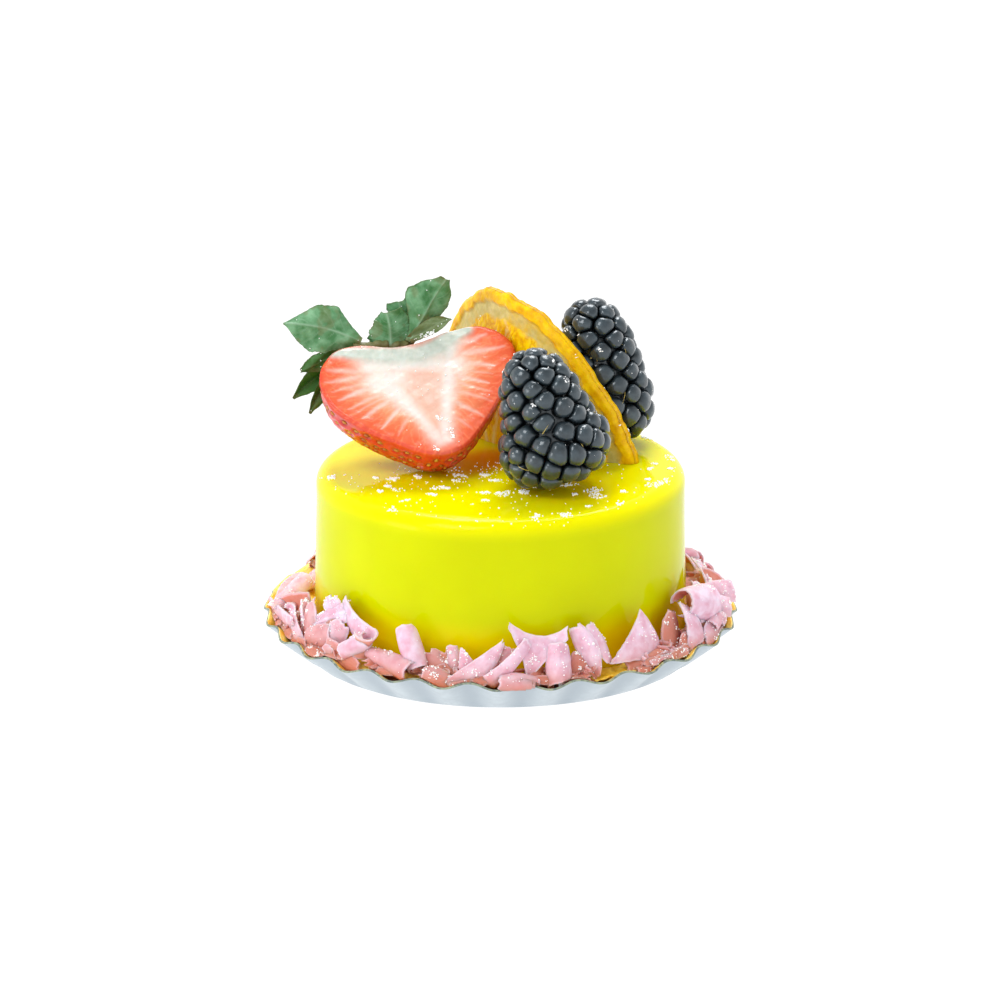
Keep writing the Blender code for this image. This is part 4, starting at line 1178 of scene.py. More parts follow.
@dataclass
class OrangeSlice:
    """The half slice of dried orange, standing on its cut edge and bent as it dried."""

    radius: float = 29.3 * MM
    centre: Triple = (-1.1 * MM, 14.8 * MM, 36.5 * MM)
    yaw: float = math.radians(47.8)
    lean: float = math.radians(2.8)
    pith: float = 4.4 * MM  # width of pith and peel together
    peel: float = 2.0  # mm, width of the coloured peel
    sunk: float = 5.0 * MM
    drawn_in: float = 0.35  # share by which the far end is shorter
    half_thickness: float = 1.3 * MM
    bend: tuple[float, float, float, float] = (-8.9, 5.2, -0.3, -2.0)
    bump: Triple = (0.8, 1.05, 0.28)  # of the rim: mm, and where and how wide in radians
    segments: float = 6.0
    wall: float = 0.42  # mm, half width of the membranes between segments
    sacs: float = 14.0  # rows of juice sacs, over a radian
    sac_pace: float = 1.15  # radians of the sacs' sine that a millimetre outwards takes
    steps: int = 360
    flesh_rows: int = 90
    rind_rows: int = 44

    def frame(self) -> tuple[Array, Array, Array]:
        """The slice's own directions, by its yaw and lean.

        Returns:
            Along the cut edge to the near right, up, and out of the near face.
        """
        along = np.array([math.cos(self.yaw), -math.sin(self.yaw), 0.0])
        back = np.array([math.sin(self.yaw), math.cos(self.yaw), 0.0])
        up = np.array([0.0, 0.0, 1.0]) * math.cos(self.lean) + back * math.sin(self.lean)
        return along, up, np.cross(along, up)

    def warp(self, u: Array, v: Array) -> Array:
        """How far the slice bends out of its plane: a cubic in its two directions.

        Args:
            u: Metres along the cut edge.
            v: Metres up.

        Returns:
            Metres towards the near face.
        """
        a, b = u / self.radius, v / self.radius
        square, twist, upright, cubic = self.bend
        return (square * a**2 + twist * a * b + upright * b**2 + cubic * a**3) * MM

    def build(self) -> None:
        """Makes the slice: rind, pith and flesh differ in thickness, and each segment of flesh is puffed.

        Juice sacs are cells of a grid that runs out along the segments; each bulges like a sine in both
        directions and its height swings from cell to cell with noise.
        """
        angle = np.linspace(0, math.pi, self.steps)
        past = np.clip((angle - math.pi / 2) / (math.pi / 2), 0, 1)
        rim = self.radius * (1 - self.drawn_in * past**2.2)
        around = np.stack([np.cos(angle), np.sin(angle)], -1) * 20
        high, where, wide = self.bump
        rim = rim + 0.30 * MM * waves(around, 5.0, 21) + high * MM * bell(angle - where, wide)
        inner = rim - self.pith * (1 + 0.10 * waves(around, 9.0, 20))
        out_rows = np.linspace(0.02, 1, self.flesh_rows), 1 + np.linspace(0, 1, self.rind_rows)[1:]
        share = np.concatenate(out_rows)[:, None]
        radius = np.where(share <= 1, share * inner, inner + (share - 1) * (rim - inner))
        u, v = radius * np.cos(angle), radius * np.sin(angle)
        v = v * (1 + self.sunk / self.radius) - self.sunk
        flat = np.stack([u, v], axis=-1) / MM
        rough, fine = waves(flat, 5.0, 22), waves(flat, 1.6, 23)
        peel = 1 - ease((rim - radius) / MM + 0.35 * rough, self.peel - 0.45, self.peel + 0.45)
        flesh = 1 - ease(share + 0.03 * rough, 0.97, 1.03)
        wedge = (angle / math.pi * self.segments + 0.25 + 0.08 * rough) % 1.0
        from_wall = np.minimum(wedge, 1 - wedge) * radius / MM * math.pi / self.segments
        membrane = bell(from_wall, self.wall) * flesh
        puff = ease(from_wall, 0.0, 2.2) * ease(share + 0 * angle, 0.08, 0.3) * flesh
        out = radius / MM + 0.7 * waves(flat, 3.0, 24)
        turn = (angle * self.sacs + 0 * radius) + 0.5 * waves(flat, 4.0, 25)
        sac = np.abs(np.sin(out * self.sac_pace + 2.1 * np.floor(turn))) ** 0.6
        sac = sac * np.abs(np.sin(turn * math.pi)) ** 0.5 * flesh * (1 - membrane)
        tissue = 0.50 + 0.20 * puff + 0.12 * membrane + 0.13 * sac + 0.05 * rough + 0.04 * fine
        thick = self.half_thickness * (tissue + (0.95 - tissue) * peel * (1 + 0.06 * fine))
        thick = thick * np.sqrt(np.clip(1 - ((share - 1.84) / 0.16).clip(0, 0.9) ** 2, 0, 1))
        along, up, outward = self.frame()
        middle = np.array(self.centre) + stepped((u, along), (v, up), (self.warp(u, v), outward))
        offset = thick[..., None] * outward
        values = {"membrane": membrane, "pith": 1 - flesh, "rind": peel, "sac": sac}
        body = sheet(middle + offset, middle - offset, values)
        add_piece("dried_orange_slice", body, [OrangeFlesh().build()], ("orange_slice",))


# The bramble berries


@dataclass
class Bramble:
    """A bramble berry: drupelets pressed together over an egg-shaped body that stands on its stem end."""

    name: str
    node: str
    stand: Pair
    length: float  # mm
    radius: float  # mm
    lean_left: float  # degrees
    drupelets: int
    seed: int
    taper: float  # share by which the tip is slimmer
    blunt: float  # the lower, the blunter the tip
    lean_back: float = 1.0
    widest: float = 0.36  # share of the length, from the stem end, where the berry is widest
    waist: float = 0.55  # share of its outline, from the tip, where it is widest
    groove: float = 0.06  # mm that drupelets keep from the plane that parts them
    sharp: int = 7  # the higher, the sharper a drupelet's bends to those planes
    sizes: Pair = (2.0, 3.1)  # mm, the least and greatest radius of a drupelet
    spread: Pair = (0.88, 1.10)  # a drupelet's size, as a share of the room it has
    core: float = 0.71  # size of the core, painted black as shade between the drupelets, as a share of the berry
    rows: int = 18
    columns: int = 26
    core_grid: tuple[int, int] = (24, 36)
    styles: int = 26

    def outline(self, share: Array) -> tuple[Array, Array]:
        """The body's outline: like a quarter of an ellipse over its waist and another below it.

        Args:
            share: Of the outline, from its tip to its flat stem end.

        Returns:
            Radius and height there, in mm.
        """
        widest = self.widest * self.length
        bend = 0.5 * math.pi * np.clip(share / self.waist, 0, 1)
        low = 0.5 * math.pi * np.clip((share - self.waist) / (1 - self.waist), 0, 1)
        r = np.where(share < self.waist, np.sin(bend) ** self.blunt, np.cos(low) ** 0.55)
        r = r * (1 - self.taper * ease(0.60 - share, 0.0, 0.14))
        z = np.where(share < self.waist, widest + (self.length - widest) * np.cos(bend) ** 1.05,
                     widest * (1 - np.sin(low) ** 0.8))
        return self.radius * r, z

    def centres(self) -> tuple[Array, Array]:
        """Where the drupelets sit: areas that grow down the body, each turned on by the golden angle.

        Returns:
            Their places on the outline in mm, and their outward directions.
        """
        fine = np.linspace(0.0, 1.0, 400)
        r, z = self.outline(fine)
        strip = np.hypot(np.diff(r), np.diff(z)) * (r[1:] + r[:-1]) * (1.3 - 0.55 * fine[1:])
        area = np.concatenate([[0], np.cumsum(strip)])
        draw = np.random.default_rng(self.seed)
        k = np.arange(self.drupelets)
        shift = draw.uniform(-0.3, 0.3, self.drupelets)
        share = np.interp((k + 0.5 + shift) / self.drupelets, area / area[-1], fine)
        angle = k * GOLDEN_ANGLE + draw.uniform(-0.10, 0.10, self.drupelets)
        r, z = self.outline(share)
        r_on, z_on = self.outline(np.clip(share + 0.004, 0, 1))
        r_back, z_back = self.outline(np.clip(share - 0.004, 0, 1))
        slope = unit(np.stack([-(z_on - z_back), r_on - r_back], axis=-1))
        return round_points(r, angle, z), unit(round_points(slope[:, 0], angle, slope[:, 1]))

    def drupelet(self, k: int, centres: Array, outward: Array, radii: Array) -> tuple[Array, Array]:
        """One drupelet, pressed against its neighbours.

        It is a ball that stops short of the planes that part it from its neighbours, each nearer the smaller
        of the two. In each direction its reach is a soft least of its radius and the distances to those
        planes: the inverse root of the sum of their inverse powers.

        Args:
            k: Its number.
            centres: Of all the drupelets, in mm.
            outward: Their outward directions.
            radii: Their radii in mm.

        Returns:
            Its points in mm, and how deep in the grooves each lies, from 0 to 1.
        """
        bend = np.linspace(0.02, 0.98, self.rows)[:, None] * math.pi
        turn = turns(self.columns)[None, :]
        axis = outward[k]
        side = unit(np.cross(axis, (0.3, 0.5, 0.81)))
        other = np.cross(axis, side)
        way = stepped((np.cos(bend) + 0 * turn, axis), (np.sin(bend) * np.cos(turn), side),
                      (np.sin(bend) * np.sin(turn), other))
        gaps = centres - centres[k]
        length = np.linalg.norm(gaps, axis=-1)
        near = np.argsort(length)[1:10]
        gaps, length = gaps[near], length[near]
        towards = np.clip(way @ (gaps / length[:, None]).T, 0.02, None)
        radius = radii[k]
        limits = (0.5 * (length + (radius**2 - radii[near] ** 2) / length) - self.groove) / towards
        reach = (np.sum(limits**-self.sharp, axis=-1) + radius**-self.sharp) ** (-1 / self.sharp)
        reach = reach * (1 + 0.02 * waves(way * radius + 9.0 * k, 1.6, 55))
        height = reach * np.cos(bend) / radius
        return centres[k] + way * reach[..., None], 1 - ease(height, 0.25, 0.72)

    def turned(self, points: Array) -> Array:
        """The berry leaned over about its foot, back and then to the left, and moved to where it stands.

        Args:
            points: In mm, as on an upright berry.

        Returns:
            The points in metres.
        """
        a, b = math.radians(-self.lean_left), math.radians(-self.lean_back)
        left = np.array([[math.cos(a), 0, math.sin(a)], [0, 1, 0], [-math.sin(a), 0, math.cos(a)]])
        back = np.array([[1, 0, 0], [0, math.cos(b), -math.sin(b)], [0, math.sin(b), math.cos(b)]])
        return points @ (left @ back).T * MM + (*self.stand, 0.0)

    def style(self, start: Array, outward: Array, draw: np.random.Generator) -> Array:
        """A dried style: a hair that leaves a groove and bends over along a parabola.

        Args:
            start: Its root in mm.
            outward: The direction in which it leaves.
            draw: For its length and the way that it bends.

        Returns:
            Rings of points in mm.
        """
        side = unit(np.cross(outward, draw.normal(size=3)))
        t = np.linspace(0, 1, 7)[:, None]
        length = draw.uniform(1.6, 3.2)
        line = start + outward * (1.9 * t - 1.1 * t**2) + side * length * t * (0.6 + 0.4 * t)
        angle = turns(6)
        over = unit(np.cross(side, outward))
        ring = np.cos(angle)[:, None] * over + np.sin(angle)[:, None] * outward
        return line[:, None] + 0.075 * (1.15 - t[:, None]) * ring

    def build(self, skin: bpy.types.Material, hair: bpy.types.Material) -> None:
        """Makes the berry, drupelets round a core painted black as shade, set down where the CAD solid
        stands, and its styles.

        Args:
            skin: Material of the drupelets.
            hair: Material of the styles.
        """
        places, outward = self.centres()
        apart = np.linalg.norm(places[:, None] - places[None], axis=-1)
        spare = np.random.default_rng(self.seed + 100).uniform(*self.spread, len(places))
        radii = np.clip(0.66 * np.sort(apart, axis=1)[:, 1:6].mean(axis=1) * spare, *self.sizes)
        centres = places + outward * (0.45 - radii)[:, None]
        bodies = []
        for k in range(len(places)):
            # groove carries the painted black shade between the drupelets
            grid, groove = self.drupelet(k, centres, outward, radii)
            bodies.append(lathe(self.turned(grid), {"groove": groove}))
        rows, columns = self.core_grid
        r, z = self.outline(np.linspace(0.02, 0.98, rows))
        angle = turns(columns)
        middle = 0.5 * self.length
        core = round_points(self.core * r[:, None], angle, (middle + (z - middle) * self.core)[:, None])
        # the core is painted black, as shade showing between the drupelets
        bodies.append(lathe(self.turned(core), {"groove": np.ones(self.core_grid)}))
        body = joined(bodies)
        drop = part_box(self.node)[0].z - body.points[:, 2].min()
        body.points[:, 2] += drop
        add_piece(self.name, body, [skin], (self.node,))
        draw = np.random.default_rng(self.seed + 200)
        hairs = []
        for k in draw.choice(len(places), self.styles, replace=False):
            mate = np.argsort(apart[k])[draw.integers(1, 5)]
            start = 0.5 * (places[k] + places[mate]) - 0.9 * outward[k]
            hairs.append(lathe(self.turned(self.style(start, outward[k], draw)) + (0, 0, drop)))
        add_piece(self.name + "_styles", joined(hairs), [hair])


# The chocolate shavings

RingPlace = Triple  # degrees round from the front towards +X, mm from the axis, mm up
TUBE_WRAP = 200.0  # degrees: a strip that wraps round further than this is a tube


def ring_point(place: RingPlace) -> Array:
    """A place on the ring of shavings as a point in metres."""
    turn, out, up = place
    return np.array([out * math.sin(math.radians(turn)), -out * math.cos(math.radians(turn)), up]) * MM


@dataclass(frozen=True)
class Shaving:
    """A curled strip of chocolate, from its foot to its head.

    Its cross-section is an arc that covers `wrap` degrees, hollow to the front where they are negative.
    The middle of a strip lies on the line from foot to head; a tube has its axis there. `width` is measured
    along the arc. A head curls over outwards, or inwards where its degrees are negative.
    """

    foot: RingPlace
    head: RingPlace
    width: Triple  # mm at the foot, the middle and the head
    wrap: Pair  # degrees at the foot and the head
    faces: float = 0.0  # degrees round the line from outwards to the way that the strip's middle bulges
    bow: Pair = (0.0, 0.0)  # mm that the line's middle is pushed out and to the right
    roll: Pair = (0.0, 0.0)  # how the head end curls over: its radius in mm, and degrees
    horns: tuple[float, float, float, float] = (0, 0, 0, 0)  # mm added at the corners: foot, then head
    deep: float = 0.0  # how much painted salmon shade it has rather than pink
    thick: float = 0.5  # mm
    ridges: float = 0.0  # mm, of ridges along it
    torn: float = 0.22  # mm, how rough its ends are


def shaving_body(shaving: Shaving, seed: int, rows: int = 40, columns: int = 30) -> Body:
    """The closed surface of a shaving, thin to its torn edges.

    The line is a parabola from foot to head, then an arc where the head curls over. Across it, points
    follow a circle whose radius is the width over the wrap. Ends and sides are torn by smooth noise, and
    corners run out as the square of their nearness to the side.

    Args:
        shaving: Its form and tone.
        seed: Of its unevenness.
        rows: Of points along it.
        columns: Of points across it.

    Returns:
        The body in metres, kept out of the case and the cake.
    """
    foot, head = ring_point(shaving.foot) / MM, ring_point(shaving.head) / MM
    line = head - foot
    length = np.linalg.norm(line)
    axis = line / length
    outward = np.array([foot[0] + head[0], foot[1] + head[1], 0.0])
    outward = unit(outward - axis * outward.dot(axis))
    beside = np.cross(axis, outward)
    a = np.linspace(-0.5, 0.5, columns)[None, :]
    t = np.linspace(0, 1, rows)[:, None]
    left, right = np.clip(-2 * a, 0, 1) ** 2, np.clip(2 * a, 0, 1) ** 2
    across = np.stack([a * shaving.width[1], 0 * a + seed], axis=-1)
    tears = [shaving.torn * waves(across * sign, 1.8, seed + k) for k, sign in enumerate((1, -1))]
    start = tears[0] - shaving.horns[0] * left - shaving.horns[1] * right
    roll, roll_degrees = shaving.roll
    total = length + roll * math.radians(abs(roll_degrees))
    end = total + tears[1] + shaving.horns[2] * left + shaving.horns[3] * right
    run = start + (end - start) * t
    s = np.clip(run / total, 0, 1)
    w0, w1, w2 = shaving.width
    width = (w0 * (1 - s) * (1 - 2 * s) + 4 * w1 * s * (1 - s) + w2 * s * (2 * s - 1)).clip(0.12)
    wrap = np.radians(shaving.wrap[0] + (shaving.wrap[1] - shaving.wrap[0]) * s)
    wrap = np.where(np.abs(wrap) < 0.05, 0.05, wrap)
    is_tube = max(shaving.wrap) > TUBE_WRAP
    spin = math.radians(shaving.faces)
    forward = math.cos(spin) * outward + math.sin(spin) * beside
    sideways = -math.sin(spin) * outward + math.cos(spin) * beside
    past = np.clip(run - length, 0, None) if roll else 0 * run
    turn = past / max(roll, 1e-9)
    straight = (run - past) / length
    bend = outward * shaving.bow[0] + beside * shaving.bow[1]
    centre = foot + straight[..., None] * line + (4 * straight * (1 - straight))[..., None] * bend
    over = math.copysign(1, roll_degrees)
    normal = stepped((np.cos(turn), forward), (-over * np.sin(turn), axis))
    centre = centre + roll * stepped((np.sin(turn), axis), (over * (1 - np.cos(turn)), forward))
    side_tear = 1 + 0.03 * waves(np.stack([t * length, 0 * t], -1), 1.8, seed + 2) * np.sign(a)
    angle = a * wrap * side_tear
    radius = width / wrap
    if is_tube:
        radius = radius * (1 - 0.16 * (a + 0.5))
    spoke = stepped((np.cos(angle), normal), (np.sin(angle), sideways))
    middle = centre + radius[..., None] * spoke
    if not is_tube:
        middle = middle - radius[..., None] * normal
    grain = np.stack([a * w1 + 0 * t, 0.06 * t * length + 0 * a], -1)
    ripple = 0.07 * waves(middle, 3.5, seed + 3) + shaving.ridges * np.cos(a * FULL_TURN * 3.0)
    ripple = ripple + 0.018 * waves(grain, 0.7, seed + 4)
    middle = middle + ripple[..., None] * spoke
    edge = np.minimum(np.minimum(t, 1 - t) * length, (0.5 - np.abs(a)) * width)
    half = 0.5 * shaving.thick * (0.4 + 0.6 * np.sqrt(np.clip(edge / 0.5, 0, 1)))
    offset = half[..., None] * spoke
    height = middle[..., 2]
    # painted salmon shade grows towards the bottom of the heap
    sunk = 0.7 * (1 - ease(height, 5.8, 9.6)) + 0.22 * (1 - ease(height, 8.0, 14.0))
    deep = np.clip(shaving.deep + sunk, 0, 1)
    lip = (1 - ease(edge, 0.05, 0.5)) * (1 - 0.65 * deep)
    body = sheet((middle + offset) * MM, (middle - offset) * MM, {"deep": deep, "lip": lip})
    return replace(body, points=settled(body.points))


def settled(points: Array) -> Array:
    """Points kept out of the case and the cake.

    They are raised to the height of the case's inner face, a slanted line plus a cosine for each flute, and
    pushed out to the cake's side.

    Args:
        points: In metres, one in a row.

    Returns:
        The points, in the same order.
    """
    case, cake = PaperCase(), Cake()
    reach = np.maximum(np.hypot(points[:, 0], points[:, 1]), 1e-9)
    clear = cake.radius(points[:, 2]) + 0.12 * MM
    scale = np.maximum(1, clear / reach)
    x, y = points[:, 0] * scale, points[:, 1] * scale
    reach = reach * scale
    wide = case.rim_radius - case.foot_radius
    share = np.clip((reach - case.foot_radius) / wide, 0, 1)
    depth = (case.depth_foot + (case.depth - case.depth_foot) * share) * case.flute(np.arctan2(y, x))
    rest = case.height * share + (case.board + depth) * math.hypot(1, case.height / wide) + 0.05 * MM
    z = np.where(reach < case.rim_radius + 0.2 * MM, np.maximum(points[:, 2], rest), points[:, 2])
    return np.stack([x, y, z], axis=-1)


# deep sets how much painted salmon shade a shaving has
FRONT_SHAVINGS = (
    # the long trough at the left, the petal along the rim below it, and the sheets between it and the cake
    Shaving((-84, 43.6, 6.9), (-74, 37.6, 9.8), (4.5, 7, 6.5), (80, 70), 180, torn=0.12),
    Shaving((-79, 44.9, 9.6), (-92, 37.5, 12.6), (1.6, 4.2, 3.6), (110, 110), 105, (0, -0.9), torn=0.12),
    Shaving((-92, 42.8, 7.6), (-112, 41.4, 7.8), (2.6, 4.4, 3.4), (70, 60), 105, (0, 0.6)),
    Shaving((-102, 39.6, 8), (-115, 39.2, 8.6), (3, 4.6, 3.4), (150, 130), 95),
    Shaving((-94, 45.2, 6.8), (-64.5, 43.8, 9.6), (1.6, 5.6, 2.6), (90, 90), 24, (0.5, 1.3)),
    Shaving((-84, 42, 6.8), (-77, 40.6, 8.6), (4, 4.5, 3), (80, 70), 8, deep=0.75),
    Shaving((-75, 43, 6.6), (-69, 41.6, 8.6), (5, 5, 4), (120, 100), 0, deep=0.9),
    Shaving((-73, 41, 8.2), (-72.2, 38.8, 12), (4, 4.6, 2.6), (80, 60), 0, deep=0.6, torn=0.12),
    # thin strips that stand up, and the sheets beside them
    Shaving((-61.2, 43.9, 6.8), (-70.4, 42.4, 10.9), (3, 2.4, 1.8), (110, 80), 15, (0.5, 0.3), (0.7, 120)),
    Shaving((-64.6, 41.8, 9), (-70.6, 40.4, 12.6), (1.5, 1.1, 0.9), (90, 60), 0, (0.2, 0.4)),
    Shaving((-60.5, 42.2, 7.6), (-65, 40.2, 13.3), (6, 6.8, 3.4), (60, 46), 0, (0.4, 0),
            horns=(0, 0, 0.2, 0.8), deep=0.5, torn=0.12),
    Shaving((-57.4, 39.6, 13.6), (-55.2, 38.9, 16), (2.4, 3, 2), (90, 80), 0),
    Shaving((-54.4, 39.4, 14.6), (-52.6, 38.7, 16.4), (2, 2.6, 1.6), (90, 80), 0),
    Shaving((-59, 41.6, 10.2), (-48, 39.2, 14.9), (3.4, 4.2, 4.2), (30, 30), -20, ridges=0.16,
            horns=(0.5, 0.1, 0.9, 0)),
    Shaving((-53.6, 41.4, 8.6), (-49.4, 39.8, 12.4), (3.4, 4.6, 2.6), (40, 40), 10, deep=0.95),
    # the band that curls round a small roll
    Shaving((-50.6, 38.4, 16.4), (-37.6, 40.2, 11.2), (2.4, 5.4, 5.2), (40, 60), 8, (0.8, 0.9), (1.6, 205)),
    Shaving((-43.2, 43.8, 8.6), (-36.4, 42.2, 11.9), (7.6, 8.8, 9), (320, 320), 30),
    Shaving((-50.6, 42.4, 8.6), (-47.4, 40.4, 12.8), (4.4, 5, 3.2), (50, 50), 10, deep=0.2),
    Shaving((-58.4, 43.7, 8.2), (-50.2, 42.3, 10.2), (3.8, 5, 4.6), (110, 90), -10, (0.3, -0.2),
            horns=(0, 0.4, 0.5, 0), deep=0.45, torn=0.12),
    Shaving((-55.2, 45, 7), (-49.6, 44.8, 6.8), (2.6, 3.6, 2.6), (140, 140), -46, deep=0.4),
    Shaving((-50, 43.2, 8.9), (-37.2, 44.2, 6.6), (2.6, 4.2, 2), (50, 50), -6, (0.1, 0.3), deep=0.6),
    # the lying cone, the stump on its end, and the broken bits after it
    Shaving((-37.6, 41.3, 9.2), (-22.4, 43.6, 7.6), (4, 9.6, 12.6), (300, 320), -35, deep=0.25,
            horns=(0, 0, 0.7, 0.4)),
    Shaving((-21.5, 41.9, 7.9), (-27.4, 38.9, 14.9), (11.2, 12, 9.4), (330, 300), 0,
            horns=(0.9, 0.2, -1.6, -1.6), torn=0.1),
    Shaving((-13.6, 42.4, 6.4), (-20.6, 39.6, 10.2), (5, 6, 4), (90, 80), 20, deep=0.6),
    Shaving((-13.4, 40.6, 7), (-15.8, 39.4, 10.8), (3.6, 4, 2.2), (60, 50), 0, deep=0.9),
    Shaving((-12.4, 40.8, 8.2), (-13.8, 39.2, 12.3), (4, 3.8, 2.6), (200, 160), 0, deep=0.25),
    Shaving((-7.6, 42.6, 6.9), (-10.4, 40.6, 12.4), (5.2, 3.2, 0.4), (100, 50), 0),
    Shaving((-19.4, 44.3, 7.8), (-11.8, 44.2, 6.6), (3.6, 4.6, 2), (110, 110), -30, (0.2, -0.4), deep=0.3),
    Shaving((-12.4, 44.4, 6.9), (-8.2, 44.2, 7.4), (2, 3, 2), (120, 110), -50, deep=0.1),
    Shaving((-13.6, 44.6, 6.7), (0.7, 39.6, 13.4), (1, 3.9, 0.7), (70, 50), -16, (1.2, 1.3)),
    Shaving((0.4, 41.4, 7.6), (2.4, 39.4, 12.3), (3.2, 4.2, 3), (70, 60), 0, deep=0.3),
    # the curled ribbon, the fan behind it, the roll on the rim and the upright tube
    Shaving((7.6, 40.4, 13.9), (-1.2, 44.2, 8), (2, 3, 3.8), (90, 90), 0, (0.8, -0.2), (1.5, -190)),
    Shaving((6.9, 42.4, 6.6), (9.8, 39, 14.4), (0.5, 5, 11.8), (-30, -58), 0, (0.3, 0.1),
            horns=(0, 0, 1.3, 2.8), torn=0.12),
    Shaving((-0.6, 44.6, 6.8), (9.4, 44.5, 6.4), (8, 9.5, 6), (300, 300), -70, (0, -0.4)),
    Shaving((14.5, 43.9, 5.9), (15.6, 39.9, 12.7), (12.8, 12.4, 9.4), (330, 290), 0,
            horns=(0.9, 0, -0.9, -0.9), torn=0.12),
    Shaving((21.3, 43.4, 5.8), (21.8, 40.2, 10.8), (5, 5.6, 3), (40, 40), 0, deep=0.75),
    # the two blades, the pointed shard and the low rolls
    Shaving((25.4, 43, 6.4), (20.7, 39, 15.3), (0.5, 4.8, 2.8), (100, 120), -24, (0.6, 0.1),
            horns=(0, 0, 0, 0.3)),
    Shaving((29.2, 42.2, 8.4), (25.2, 39, 15.6), (1.4, 3.6, 1.8), (90, 90), 30, (0.2, 0.2)),
    Shaving((40.4, 42.4, 7.2), (42.7, 38.8, 16), (18, 9, 0.2), (56, 12), 10, (0.5, 0),
            horns=(0.2, 2.6, 0, 0), torn=0.12),
    Shaving((33.6, 42.8, 7.2), (45.4, 43.4, 7.8), (5, 6.4, 4), (150, 140), -50, deep=0.7),
    Shaving((35.6, 44.3, 6.4), (39.6, 44.2, 6.4), (3, 3.8, 3), (150, 150), -50, deep=0.7),
    Shaving((39.4, 44.3, 7.3), (47, 44.4, 7.3), (1, 1.8, 0.8), (60, 60), -50),
    Shaving((43.6, 43.8, 7.6), (53.4, 44.4, 7), (1.4, 2.2, 1.2), (60, 60), -30),
    # the cluster of petals at the right
    Shaving((51.4, 41.9, 6.6), (56.8, 39, 12.9), (5.4, 7.4, 2.6), (60, 46), 0, (0.3, 0), deep=0.85,
            horns=(0, 0, 0, 0.8)),
    Shaving((59.8, 44.5, 7.4), (58.6, 39.6, 14.6), (9.6, 7.4, 0.3), (150, 60), 22, (0.9, 0.9),
            horns=(0.3, 0, 0, 0), torn=0.12),
    Shaving((54.6, 44, 6.4), (55.6, 42.4, 9.8), (2.6, 3.6, 1.4), (150, 110), 0, deep=0.7),
    Shaving((71.5, 41, 11.8), (59.4, 40, 14.5), (14, 14.5, 13), (200, 290), 46, (0.7, 0.3)),
    Shaving((68, 43, 9), (72, 39.6, 15.8), (6.4, 7.6, 5), (80, 60), 6, (0.4, 0)),
    Shaving((79, 39.8, 11.6), (86, 45.5, 10.9), (4, 4.8, 4.4), (56, 44), -24, (0.3, -0.3)),
    Shaving((74, 41.4, 11), (79, 45.4, 9.6), (3.4, 4.4, 4), (60, 50), -20, (0.3, 0)),
    Shaving((72, 44, 8.8), (78, 42.8, 12), (7, 7.4, 5.6), (200, 160), -30, deep=0.1),
    Shaving((65.6, 44.3, 8.8), (69.6, 44.2, 10.2), (6.6, 7.4, 6), (320, 300), -50, deep=0.15),
    Shaving((69.6, 44.4, 8.2), (73, 44.3, 9.4), (6, 6.6, 5), (320, 300), -50, deep=0.15),
    Shaving((60.8, 44.7, 7.4), (72.4, 44.8, 8), (2, 5, 2.2), (50, 50), -24, (0.2, -0.3)),
    Shaving((86, 41.6, 8.6), (94, 39.2, 12.6), (4.4, 5.4, 3), (70, 50), 0, deep=0.1),
    Shaving((95, 42.4, 8), (91, 40.4, 11.2), (4.4, 5.4, 4.2), (60, 50), 0, deep=0.3),
)
FOIL_GAPS = ((-38, 3.5), (4.6, 1.6), (30, 7), (-106, 13), (-22.5, 2))  # degrees: where, half of how wide
BANK = (  # the cross-section of the bank under the shavings, in mm: from the axis, and up
    (37.3, 1.4), (37.8, 1.5), (40.3, 4.0), (42.4, 6.2), (43.9, 7.3), (43.3, 7.4), (42.4, 7.3), (41.4, 7.2),
    (40.5, 7.2), (39.7, 7.1), (39.0, 7.0), (38.3, 6.8), (37.7, 6.4), (37.2, 5.8),
)


class Curl(Enum):
    """The kinds of shaving at the back, each with the upper end of its share of a draw from 0 to 1."""

    TUBE = 0.28
    PETAL = 0.68
    RIBBON = 0.84
    ROLL = 1.0


